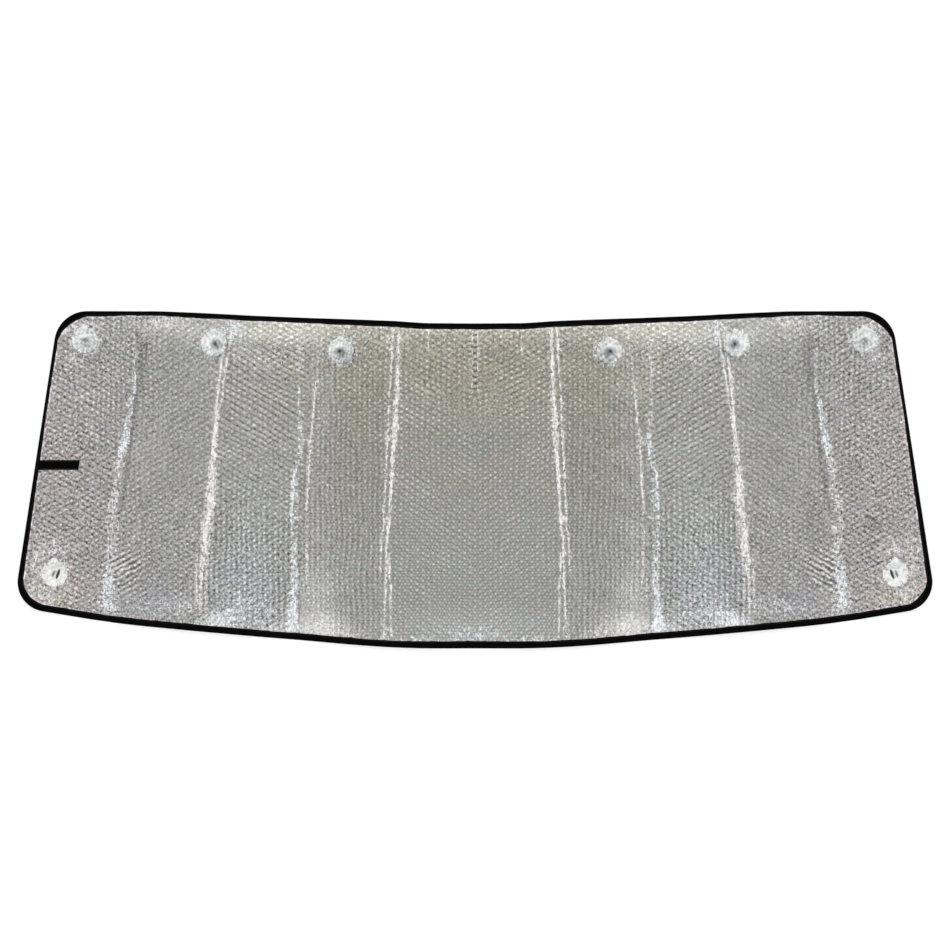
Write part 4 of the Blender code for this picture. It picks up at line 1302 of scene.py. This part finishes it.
def strap_stitch_runs():
    """Two rows of stitches along the strap, one beside each selvedge."""
    first = STRAP_TAPE_WIDTH + STRAP_STITCH_MARGIN
    last = STRAP_TAPE_WIDTH + STRAP_VISIBLE_LENGTH - STRAP_STITCH_MARGIN - STITCH_LENGTH
    aside = STRAP_WIDTH / 2 - STRAP_STITCH_INSET
    runs = []
    for across in (-aside, aside):
        for depth in np.arange(first, last, STITCH_STEP):
            start = Vector(strap_point(depth, across, STRAP_THICKNESS))
            end = Vector(strap_point(depth + STITCH_LENGTH, across, STRAP_THICKNESS))
            runs.append((start, end, Vector((0, 0, 1))))
    return runs


CUP_SEGMENTS = 120

# Flutes round the bell: how many, where they start and how strong they are
FLUTES = ((26, 0.0, 1.0), (17, 1.0, 0.8), (7, 0.0, 0.6))
FLUTE_REACH, FLUTE_HEIGHT = 0.00050, 0.00035
SLOT_DEPTH, SLOT_REACH = 0.0009, 0.0015
DIMPLE_DEPTH, DIMPLE_RADIUS = 0.0007, 0.0032
FLOOR_RING_HEIGHT, FLOOR_RING_RADIUS, FLOOR_RING_WIDTH = 0.00035, 0.0058, 0.0007
BELL_STEPS, BELL_CURVE, BELL_FLUTES = 16, 1.5, 0.45
FLOOR_STEPS, FLOOR_CURVE, FLOOR_FLUTES = 26, 2.1, 0.5
HEAD_STEPS, HEAD_CURVE = 7, 0.8
SLIT_CUP_FLUTES, TOP_CUP_FLUTES = 1.0, 0.8
EDGE_ROUNDING = 0.0003


def cup_profile(fluted):
    """Radius, height, share of the tab and share of the flutes, from under the head to the floor."""
    head_top = -(LAMINATE_THICKNESS + SEAT_GAP)
    hub_top = SEAT_GAP + HUB_HEIGHT
    rim_low = CUP_DEPTH - RIM_THICKNESS
    soft = EDGE_ROUNDING
    plain = []
    for step in range(1, HEAD_STEPS + 1):
        angle = math.pi / 2 * (1 - step / HEAD_STEPS)
        height = HEAD_HEIGHT * math.sin(angle) ** HEAD_CURVE
        plain.append((HEAD_RADIUS * math.cos(angle), head_top - height))
    plain += [
        (NECK_RADIUS + soft, head_top), (NECK_RADIUS, head_top + soft), (NECK_RADIUS, SEAT_GAP - soft),
        (NECK_RADIUS + soft, SEAT_GAP), (HUB_RADIUS - soft, SEAT_GAP), (HUB_RADIUS, SEAT_GAP + soft),
    ]
    profile = [(radius, height, 0, 0) for radius, height in plain]
    for step in range(BELL_STEPS + 1):
        share = step / BELL_STEPS
        radius = between(HUB_RADIUS, CUP_RADIUS, share)
        height = between(hub_top, rim_low, share**BELL_CURVE)
        profile.append((radius, height, float(share == 1), soft_share(share, BELL_FLUTES)))
    profile += [
        (CUP_RADIUS + 0.0001, CUP_DEPTH - RIM_THICKNESS * 0.5, 1, 1),
        (CUP_RADIUS - 0.0001, CUP_DEPTH - 0.0001, 1, 1),
        (CUP_RADIUS - 0.0006, CUP_DEPTH, 0.8, 0.6),
    ]
    for step in range(FLOOR_STEPS):
        share = 1 - step / FLOOR_STEPS
        radius = (CUP_RADIUS - LIP_WIDTH) * share
        ring = FLOOR_RING_HEIGHT * bell((radius - FLOOR_RING_RADIUS) / FLOOR_RING_WIDTH)
        dimple = DIMPLE_DEPTH * math.exp(-((radius / DIMPLE_RADIUS) ** 4))
        height = between(CUP_FLOOR, CUP_DEPTH, share**FLOOR_CURVE) + (ring - dimple)
        profile.append((radius, height, 0, soft_share(share, FLOOR_FLUTES)))
    strength = SLIT_CUP_FLUTES if fluted else TOP_CUP_FLUTES
    return [(radius, height, tab, strength * flutes) for radius, height, tab, flutes in profile]


def soft_share(share, start):
    return float(soft_step((share - start) / (1 - start)))


def tab_reach(angle, half_width):
    """How far the rim stands out as the pull tab, which points along +Y."""
    half = math.asin(half_width / CUP_RADIUS)
    away = np.abs(np.remainder(angle - math.pi / 2 + math.pi, math.tau) - math.pi) / half
    return TAB_LENGTH * np.sqrt(np.clip(1.0 - away**2, 0.0, 1.0))


# Slots of the bottom cups, painted shade of the slit seen through the vinyl, with a shallow dent: their
# lean, then place across, rise, half length, half width and depth of shade
SLOT_LEAN = math.radians(20.0)
SLOT_PLACES = ((-0.0024, -0.0006, 0.0066, 0.0022, 0.72), (0.0052, 0.0014, 0.0094, 0.0027, 1.05))

# The top cups' dim cores, painted shade where the neck and its hole show dark through the vinyl, in
# pairs from the ends: place towards the middle, rise, radius, depth of shade, and how milky the
# moulding's lower side is, below its painted upper highlight
CORES = {
    "cup_1": (0.0003, -0.0020, 0.0100, 0.54, 0.60),
    "cup_2": (0.0022, -0.0015, 0.0110, 0.88, 0.62),
    "cup_3": (-0.0019, -0.0012, 0.0105, 0.92, 0.42),
}

# White glints on the cups, in pairs from the ends: place towards the middle, rise, reach along
# and across, how far round they lean, and strength
GLINTS = {
    "cup_1": ((-0.0050, 0.0085, 0.0075, 0.0030, 20.0, 1.0), (0.0080, 0.0030, 0.0050, 0.0040, -30.0, 0.5)),
    "cup_2": ((-0.0105, 0.0020, 0.0050, 0.0080, 10.0, 0.9), (0.0060, 0.0100, 0.0075, 0.0050, -35.0, 0.9),
              (0.0000, -0.0110, 0.0080, 0.0045, 0.0, 0.7)),
    "cup_3": ((-0.0020, 0.0090, 0.0095, 0.0042, -12.0, 1.0), (0.0130, 0.0030, 0.0045, 0.0090, 10.0, 0.6)),
    "cup_7": ((-0.0100, 0.0040, 0.0050, 0.0090, 0.0, 0.9), (0.0120, -0.0010, 0.0060, 0.0110, 0.0, 0.6),
              (0.0010, -0.0130, 0.0100, 0.0050, 0.0, 0.5), (0.0000, 0.0220, 0.0070, 0.0060, 0.0, 0.8)),
}
PUPIL_RADIUS, PUPIL_ASIDE, PUPIL_RISE = 0.0040, 0.0012, 0.0006
STREAK_DEPTH, STREAK_LENGTH, STREAK_REACH = 0.22, 0.0011, 1.8
CORE_SHADE, PUPIL_SHADE = 0.62, 0.50

# Where the shade of cores, pupils and slots starts to fade, and over what ramp, in their radii
CORE_FADE, PUPIL_FADE, SLOT_FADE = (0.35, 0.85), (0.3, 0.9), (0.7, 0.5)

# Ragged rays of the bells, and the lengths of their clouds, wisps and glints' edges
RAY_COUNTS, RAY_TWIST, RAY_STRENGTH = (5, 9, 14, 23, 31), 160, 0.4
CLOUD_LENGTH, WISP_LENGTH, RAGGED_LENGTH = 0.009, 0.0045, 0.0050
MILK_EDGE, MILK_EDGE_RAMP = 0.013, 0.009
# The upper side's milk, whiter there as a painted highlight, with its ramp and lean; the slit cups' milk
UPPER_MILK_AND_HIGHLIGHT, UPPER_HIGHLIGHT_RAMP, UPPER_HIGHLIGHT_LEAN, SLIT_CUP_MILK = 0.88, 0.008, 0.35, 0.86


def cup_shade(cup, x, y):
    """Painted shade of the moulding: a dim core and its pupil, or two slanted slots, seen through the
    vinyl.
    """
    if not cup.slit:
        inward, rise, radius, depth, _ = CORES[cup.twin]
        x, y = x + cup.outward * inward, y - rise
        turned_x, turned_y = turned(x, y, math.pi / 4)
        away = (np.abs(turned_x) ** 3 + np.abs(turned_y) ** 3) ** (1 / 3) / radius
        pupil = np.hypot(x - cup.outward * PUPIL_ASIDE, y - PUPIL_RISE) / PUPIL_RADIUS
        streak = np.sin((x + cup.outward * y) / STREAK_LENGTH) * soft_step(STREAK_REACH - away)
        dark = CORE_SHADE * faded(away, *CORE_FADE) + PUPIL_SHADE * faded(pupil, *PUPIL_FADE)
        dark = depth * dark
        return np.clip(dark + (1 - depth) * (STREAK_DEPTH * streak), 0, 1)
    across, along = turned(x, y, cup.outward * SLOT_LEAN)
    across = across * -cup.outward
    shade = np.zeros_like(x)
    for place, rise, half_length, half_width, strength in SLOT_PLACES:
        away = np.hypot((across - place) / half_width, (along - rise) / half_length)
        shade = np.maximum(shade, strength * faded(away, *SLOT_FADE))
    return np.clip(shade, 0, 1)


def cup_milk_and_highlight(cup, x, y):
    """How white and cloudy the moulding is: whiter on its upper side as a painted highlight, with ragged
    rays.
    """
    radius, angle = np.hypot(x, y), np.arctan2(y, x)
    seed = 60 + cup.number
    random = np.random.default_rng(seed)
    rays = 0.0
    for count in RAY_COUNTS:
        start = random.uniform(0, math.tau)
        rays = rays + np.sin(count * angle + start + RAY_TWIST * (radius - 0.01))
    rays = RAY_STRENGTH * rays * patchy(x, y, seed, *RAY_UNEVENNESS, waves=8)
    cloud = ripple(x, y, CLOUD_LENGTH, seed + 10, waves=10)
    wisps = ripple(x, y, WISP_LENGTH, seed + 20, waves=10)
    edge = soft_step((radius - MILK_EDGE) / MILK_EDGE_RAMP)
    if cup.slit:
        milk = SLIT_CUP_MILK + 0.12 * cloud + (0.62 * rays + 0.10 * wisps + 0.12) * edge
        return np.clip(milk, 0.1, 1.0)
    upper = 0.5 + 0.5 * np.sin(angle + UPPER_HIGHLIGHT_LEAN * cup.outward)
    upper = upper * soft_step(radius / UPPER_HIGHLIGHT_RAMP)
    milk = between(CORES[cup.twin][4], UPPER_MILK_AND_HIGHLIGHT, upper)
    milk = milk + 0.20 * cloud + 0.04 * wisps + (0.36 * rays + 0.06) * edge
    return np.clip(milk, 0.05, 1.0)


def cup_glint(cup, x, y):
    """How white the moulding's glints are, with ragged edges."""
    ragged = ripple(x, y, RAGGED_LENGTH, 90 + cup.number, waves=10)
    glint = np.zeros_like(x)
    for place, rise, along, across, lean, strength in GLINTS[cup.twin]:
        turned_x, turned_y = turned(-cup.outward * x - place, y - rise, math.radians(lean))
        away = (turned_x / along) ** 2 + (turned_y / across) ** 2
        glint = np.maximum(glint, strength * np.exp(-away))
    return np.clip(glint * (1.15 + 0.35 * ragged), 0, 1)


def build_cup(cup, material):
    angle = np.linspace(0.0, math.tau, CUP_SEGMENTS, endpoint=False)
    if cup.slit:
        reach = tab_reach(angle, WIDE_TAB_HALF_WIDTH)
    else:
        reach = SHORT_TAB * tab_reach(angle, TAB_HALF_WIDTH)
    flutes = sum(strength * np.cos(count * angle + start) for count, start, strength in FLUTES)
    rings = []
    for radius, height, on_tab, on_flutes in cup_profile(cup.slit):
        flute = on_flutes * flutes
        out = radius + on_tab * reach + FLUTE_REACH * flute
        z = height + FLUTE_HEIGHT * flute * (1 - np.clip(reach / TAB_LENGTH, 0, 1))
        rings.append(np.column_stack((out * np.cos(angle), out * np.sin(angle), z)))
    low = (0.0, 0.0, -(LAMINATE_THICKNESS + SEAT_GAP + HEAD_HEIGHT))
    high = (0.0, 0.0, CUP_FLOOR - DIMPLE_DEPTH)
    vertices = np.concatenate((*rings, [low, high]))
    faces = ring_faces(len(rings), CUP_SEGMENTS).tolist()
    last = (len(rings) - 1) * CUP_SEGMENTS
    for j in range(CUP_SEGMENTS):
        k = (j + 1) % CUP_SEGMENTS
        faces += [(k, j, len(vertices) - 2), (last + j, last + k, len(vertices) - 1)]
    x, y = vertices[:, 0], vertices[:, 1]
    shade = cup_shade(cup, x, y)
    inner = vertices[:, 2] > CUP_FLOOR - SLOT_REACH
    vertices[:, 2] -= SLOT_DEPTH * shade * inner * cup.slit
    item = add_mesh(f"{cup.node}_moulding", vertices, faces, material)
    store(item, "moulding_shade", shade)
    store(item, "moulding_milk_and_highlight", cup_milk_and_highlight(cup, x, y))
    store(item, "moulding_glint", cup_glint(cup, x, y))
    turn = Vector((0.0, 0.0, 1.0)).rotation_difference(cup.axis).to_matrix().to_4x4()
    item.matrix_world = Matrix.Translation(cup.seat) @ turn
    return item


class Nodes:
    """A node tree with short calls for its nodes."""

    def __init__(self, tree):
        self.tree = tree

    def fill(self, node, inputs):
        """Links another node's output to each input, or sets it to a plain value."""
        for key, value in inputs.items():
            if isinstance(value, bpy.types.NodeSocket):
                self.tree.links.new(value, node.inputs[key])
            else:
                node.inputs[key].default_value = value

    def node(self, kind, inputs=None, **settings):
        made = self.tree.nodes.new(kind)
        for key, value in settings.items():
            setattr(made, key, value)
        self.fill(made, inputs or {})
        return made

    def math(self, operation, *values):
        return self.node("ShaderNodeMath", dict(enumerate(values)), operation=operation).outputs[0]

    def line(self, value, slope, start):
        """A value times a slope, plus a start."""
        return self.math("MULTIPLY_ADD", value, slope, start)

    def times(self, *values):
        return self.math("MULTIPLY", *values)

    def vector(self, operation, *values):
        made = self.node("ShaderNodeVectorMath", dict(enumerate(values)), operation=operation)
        return made.outputs[0]

    def parts(self, vector):
        return self.node("ShaderNodeSeparateXYZ", {"Vector": vector}).outputs

    def stored(self, name, output="Fac"):
        """What a mesh keeps for each vertex under a name."""
        return self.node("ShaderNodeAttribute", attribute_name=name).outputs[output]

    def place(self):
        return self.node("ShaderNodeTexCoord").outputs["Object"]

    def stretched(self, vector, stretch_x, stretch_y, turn=0.0):
        """Places that are turned and stretched along X and Y."""
        turn = (0.0, 0.0, math.radians(turn))
        inputs = {"Vector": vector, "Rotation": turn, "Scale": (stretch_x, stretch_y, 1.0)}
        return self.node("ShaderNodeMapping", inputs).outputs["Vector"]

    def noise(self, scale, detail, roughness=0.5, vector=None, output="Fac"):
        inputs = {"Scale": scale, "Detail": detail, "Roughness": roughness}
        inputs["Vector"] = vector or self.place()
        return self.node("ShaderNodeTexNoise", inputs).outputs[output]

    def mix(self, share, first, second, blend="MIX"):
        inputs = {0: share, 6: first, 7: second}
        made = self.node("ShaderNodeMix", inputs, data_type="RGBA", blend_type=blend)
        return made.outputs[2]

    def bump(self, height, distance, strength, normal=None):
        inputs = {"Height": height, "Distance": distance, "Strength": strength}
        if normal is not None:
            inputs["Normal"] = normal
        return self.node("ShaderNodeBump", inputs).outputs["Normal"]


class Material(Nodes):
    """A Principled material."""

    def __init__(self, name, settings):
        self.made = bpy.data.materials.new(name)
        self.made.use_nodes = True
        super().__init__(self.made.node_tree)
        self.shader = self.tree.nodes["Principled BSDF"]
        self.feed(settings)

    def feed(self, inputs):
        self.fill(self.shader, inputs)


FILM_COLOUR = (0.380, 0.376, 0.362, 1.0)
# Colour of the crumpled film's painted highlight
CRUMPLE_HIGHLIGHT_COLOUR = (0.93, 0.93, 0.93, 1.0)
SPECKLE_DEPTH = 2.0
ROW_JITTER = 0.0022

# How sharp the row waves are: below 0 their dark lines are thin, above 0 their bright ones
ROW_SHARPNESS = ((0, 0.10), (60, 0.30), (120, -0.25))


def row_wave(film, rows, degrees, period):
    """A wave that runs across the bubble rows in one direction, bright on their middles."""
    angle = math.radians(degrees)
    along = film.times(rows["X"], math.tau * math.cos(angle) / period)
    return film.math("COSINE", film.line(rows["Y"], math.tau * math.sin(angle) / period, along))


def film_painted_row_light(film):
    """Painted light and shade of the bubble rows: waves in three directions, fine highlight dots and
    specks.
    """
    jitter = film.noise(110.0, 2.0, 0.55, output="Color")
    jitter = film.vector("SUBTRACT", jitter, (0.5, 0.5, 0.5))
    even = film.stored("film_rows", "Vector")
    rows = film.parts(film.vector("MULTIPLY_ADD", jitter, (ROW_JITTER, ROW_JITTER, 0.0), even))
    depths = film.parts(film.stored("film_painted_row_light", "Vector"))
    patchy = film.parts(film.noise(48.0, 3.0, 0.65, output="Color"))
    total = 0.0
    for axis, (degrees, sharpness) in zip("XYZ", ROW_SHARPNESS):
        wave = row_wave(film, rows, degrees, BUBBLE_COLUMN)
        wave = film.line(wave, film.line(wave, 2 * sharpness, 1.0), -sharpness)
        patch = film.math("MAXIMUM", film.line(patchy[axis], 3.6, -0.8), 0.0)
        total = film.line(wave, film.times(patch, depths[axis]), total)
    dots = 0.0
    for degrees in (30, 90, 150):
        dots = film.math("ADD", row_wave(film, rows, degrees, BUBBLE_PITCH / 2), dots)
    total = film.line(dots, film.stored("film_highlight_dots"), total)
    specks = film.math("SUBTRACT", film.noise(225.0, 3.0, 0.8), 0.5)
    specks = film.times(specks, film.times(film.stored("film_specks"), SPECKLE_DEPTH))
    total = film.math("ADD", total, specks)
    return film.math("MAXIMUM", film.math("ADD", total, 1.0), 0.2)


def torn_film(film, place, cover):
    """Where crumpled film shows white as a painted highlight: broken strands along the folds, and
    hatching across.
    """
    torn = 0.0
    for strands in ((1.0, 0.35, -4.0), (0.5, 1.0, 24.0)):
        strands = film.noise(330.0, 2.0, 0.6, film.stretched(place, *strands))
        torn = film.math("MAXIMUM", torn, strands)
    white = film.line(cover, 1.10, film.line(torn, 6.5, -3.72))
    white = film.math("MINIMUM", film.math("MAXIMUM", white, 0.0), 1.0)
    return film.times(white, film.math("MINIMUM", film.times(cover, 5.0), 1.0))


def film_material():
    """Metallised film: silver, softly tinted as painted reflections, painted row light and dark, painted
    white where crumpled.
    """
    film = Material("metallised_film", {"Specular IOR Level": 0.5})
    place = film.place()
    mottle = film.noise(55.0, 3.0, 0.6, place)
    crinkle = film.noise(300.0, 2.0, 0.5, place)
    hue = film.noise(280.0, 2.0, 0.6, place, "Color")
    base = film.mix(1.0, FILM_COLOUR, film.stored("film_painted_light", "Color"), "MULTIPLY")
    base = film.mix(0.25, base, hue, "OVERLAY")
    base = film.mix(1.0, base, film_painted_row_light(film), "MULTIPLY")
    white = torn_film(film, place, film.stored("film_painted_highlight"))
    streaks = film.noise(320.0, 2.0, 0.7, film.stretched(place, 1.0, 0.35))
    streaks = film.math("MINIMUM", film.line(streaks, 2.6, -0.36), 1.07)
    # The crumples' painted highlight, with its tint, streaks and hue
    crumpled = film.mix(1.0, CRUMPLE_HIGHLIGHT_COLOUR, film.stored("film_painted_highlight_tint", "Color"), "MULTIPLY")
    crumpled = film.mix(1.0, crumpled, streaks, "MULTIPLY")
    crumpled = film.mix(0.42, crumpled, hue, "OVERLAY")
    film.feed({
        "Base Color": film.mix(white, base, crumpled),
        "Metallic": film.line(white, -0.9, 1.0),
        "Roughness": film.line(white, 0.25, film.line(mottle, 0.10, 0.36)),
        "Normal": film.bump(crinkle, 0.0004, 1.0),
    })
    return film.made


def woven_material(name, colour, rib_step, thread_step):
    """Black cloth with ribs across its length, its threads and a little lint."""
    cloth = Material(name, {"Roughness": 0.9, "Specular IOR Level": 0.05})
    ribs = cloth.math("SINE", cloth.times(cloth.stored("woven_along"), math.tau / rib_step))
    threads = cloth.math("SINE", cloth.times(cloth.stored("woven_across"), math.tau / thread_step))
    weave = cloth.line(cloth.times(ribs, threads), 0.5, 0.5)
    lint = cloth.noise(900.0, 2.0, 0.7)
    wear = cloth.noise(38.0, 2.0, 0.6)
    lighter = tuple(min(1.0, part * 2.6) for part in colour[:3]) + (1.0,)
    base = cloth.mix(cloth.times(weave, 0.45), colour, lighter)
    base = cloth.mix(cloth.times(cloth.times(lint, wear), 0.5), base, lighter)
    normal = cloth.bump(lint, 0.00012, 0.5, cloth.bump(weave, 0.00025, 0.9))
    cloth.feed({"Base Color": base, "Normal": normal})
    return cloth.made


def thread_material():
    thread = Material("black_thread", {"Roughness": 0.55})
    twist = thread.noise(2600.0, 1.0)
    base = thread.mix(twist, (0.006, 0.006, 0.007, 1.0), (0.022, 0.022, 0.023, 1.0))
    thread.feed({"Base Color": base, "Normal": thread.bump(twist, 0.00008, 0.6)})
    return thread.made


def vinyl_material(name, clear_tint, milk_tint, roughness):
    """Soft clear vinyl, cloudy and white in places, with painted white glints and painted shade in its
    core and slots.
    """
    vinyl = Material(name, {"IOR": 1.46, "Specular IOR Level": 0.6})
    flow = vinyl.noise(140.0, 2.0, 0.6)
    shade = vinyl.stored("moulding_shade")
    grain = vinyl.math("SUBTRACT", vinyl.noise(210.0, 2.0, 0.6), 0.5)
    milk = vinyl.line(grain, 0.20, vinyl.stored("moulding_milk_and_highlight"))
    glint = vinyl.line(grain, 0.8, vinyl.stored("moulding_glint"))
    body = vinyl.mix(glint, vinyl.mix(milk, clear_tint, milk_tint), (1.0, 1.0, 1.0, 1.0))
    opaque = vinyl.math("MAXIMUM", vinyl.line(milk, 0.75, 0.18), shade)
    opaque = vinyl.math("MINIMUM", vinyl.math("MAXIMUM", opaque, glint), 1.0)
    vinyl.feed({
        "Base Color": vinyl.mix(shade, body, (0.012, 0.016, 0.016, 1.0)),
        "Transmission Weight": vinyl.math("SUBTRACT", 1.0, opaque),
        "Roughness": vinyl.line(flow, 0.12, roughness),
        "Normal": vinyl.bump(flow, 0.0006, 0.35),
    })
    return vinyl.made


def floor_material():
    """Pale floor: white to the camera and in reflections, with the soft shadow kept."""
    settings = {"Base Color": (0.68, 0.68, 0.68, 1.0), "Roughness": 0.9, "Specular IOR Level": 0.0}
    floor = Material("pale_floor", settings)
    path = floor.node("ShaderNodeLightPath").outputs
    seen = floor.math("MAXIMUM", path["Is Camera Ray"], path["Is Glossy Ray"])
    seen = floor.math("MAXIMUM", seen, path["Is Transmission Ray"])
    glow = floor.node("ShaderNodeEmission", {"Strength": floor.times(seen, 0.50)})
    both = {0: floor.shader.outputs["BSDF"], 1: glow.outputs["Emission"]}
    both = floor.node("ShaderNodeAddShader", both).outputs["Shader"]
    floor.fill(floor.tree.nodes["Material Output"], {"Surface": both})
    return floor.made


def add_floor():
    corners = FLOOR_HALF_WIDTH * np.array([(-1, -1, 0), (1, -1, 0), (1, 1, 0), (-1, 1, 0)])
    floor = add_mesh("floor", corners, [(0, 1, 2, 3)], floor_material())
    floor.location.z = -FLOOR_GAP


def add_softbox(name, place, size, brightness):
    """An area lamp that looks at the shade's middle."""
    lamp = bpy.data.lights.new(name, "AREA")
    lamp.shape = "RECTANGLE"
    lamp.size, lamp.size_y = size
    lamp.energy = brightness * math.pi * size[0] * size[1]
    item = bpy.data.objects.new(name, lamp)
    item.location = place
    item.rotation_euler = (-Vector(place)).to_track_quat("-Z", "Y").to_euler()
    bpy.context.scene.collection.objects.link(item)


def add_light():
    """A soft studio: dimmer behind the lower edge, a key above the top edge and three fills."""
    world = bpy.data.worlds.new("studio")
    world.use_nodes = True
    sky = Nodes(world.node_tree)
    up = sky.parts(sky.node("ShaderNodeTexCoord").outputs["Generated"])["Y"]
    level = {"Value": up, "From Min": -0.8, "From Max": 0.8, "To Min": 0.46, "To Max": 0.78}
    level = sky.node("ShaderNodeMapRange", level).outputs["Result"]
    seen = sky.node("ShaderNodeLightPath").outputs["Is Camera Ray"]
    strength = sky.node("ShaderNodeMix", {"Factor": seen, "A": level, "B": 1.0}).outputs["Result"]
    sky.fill(sky.tree.nodes["Background"], {"Color": (1.0, 1.0, 1.0, 1.0), "Strength": strength})
    bpy.context.scene.world = world
    for softbox in SOFTBOXES:
        add_softbox(*softbox)


def add_camera():
    data = bpy.data.cameras.new("camera")
    data.lens, data.sensor_width = CAMERA_LENS, SENSOR_WIDTH
    data.clip_end = 60.0
    camera = bpy.data.objects.new("camera", data)
    panel_height = VALLEY_HEIGHT + RIDGE_HEIGHT / 2
    distance = PHOTO_WIDTH * CAMERA_LENS / SENSOR_WIDTH
    camera.location = (0.0, CAMERA_RAISE, panel_height + distance)
    bpy.context.scene.collection.objects.link(camera)
    bpy.context.scene.camera = camera


def main():
    add_camera()
    add_light()
    add_floor()

    film = film_material()
    tape_cloth = woven_material("woven_tape", (0.0010, 0.0010, 0.0011, 1.0), 0.0011, 0.0009)
    strap_cloth = woven_material("woven_strap", (0.0008, 0.0008, 0.0009, 1.0), 0.0013, 0.0010)
    thread = thread_material()
    clear = vinyl_material("clear_vinyl", (0.48, 0.52, 0.52, 1.0), (0.92, 0.93, 0.93, 1.0), 0.16)
    milky = vinyl_material("milky_vinyl", (0.55, 0.58, 0.58, 1.0), (0.90, 0.90, 0.89, 1.0), 0.18)

    front = build_film(True, film)
    back = build_film(False, film)
    tape = build_tape(tape_cloth)
    strap = build_strap(strap_cloth)
    stitches = [
        build_stitches("tape_stitches_front", tape_stitch_runs(1), thread),
        build_stitches("tape_stitches_back", tape_stitch_runs(-1), thread),
        build_stitches("strap_stitches", strap_stitch_runs(), thread),
    ]
    for piece in (*front, *back, tape, strap, *stitches):
        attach(piece, "shade")
    for piece in (*front, *back):
        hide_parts("foil_panel")
    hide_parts("edge_binding")
    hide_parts("closure_strap")

    for cup in CUPS:
        moulding = build_cup(cup, milky if cup.slit else clear)
        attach(moulding, cup.body)
        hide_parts(cup.node)

    bpy.context.scene.view_settings.view_transform = "Standard"


main()
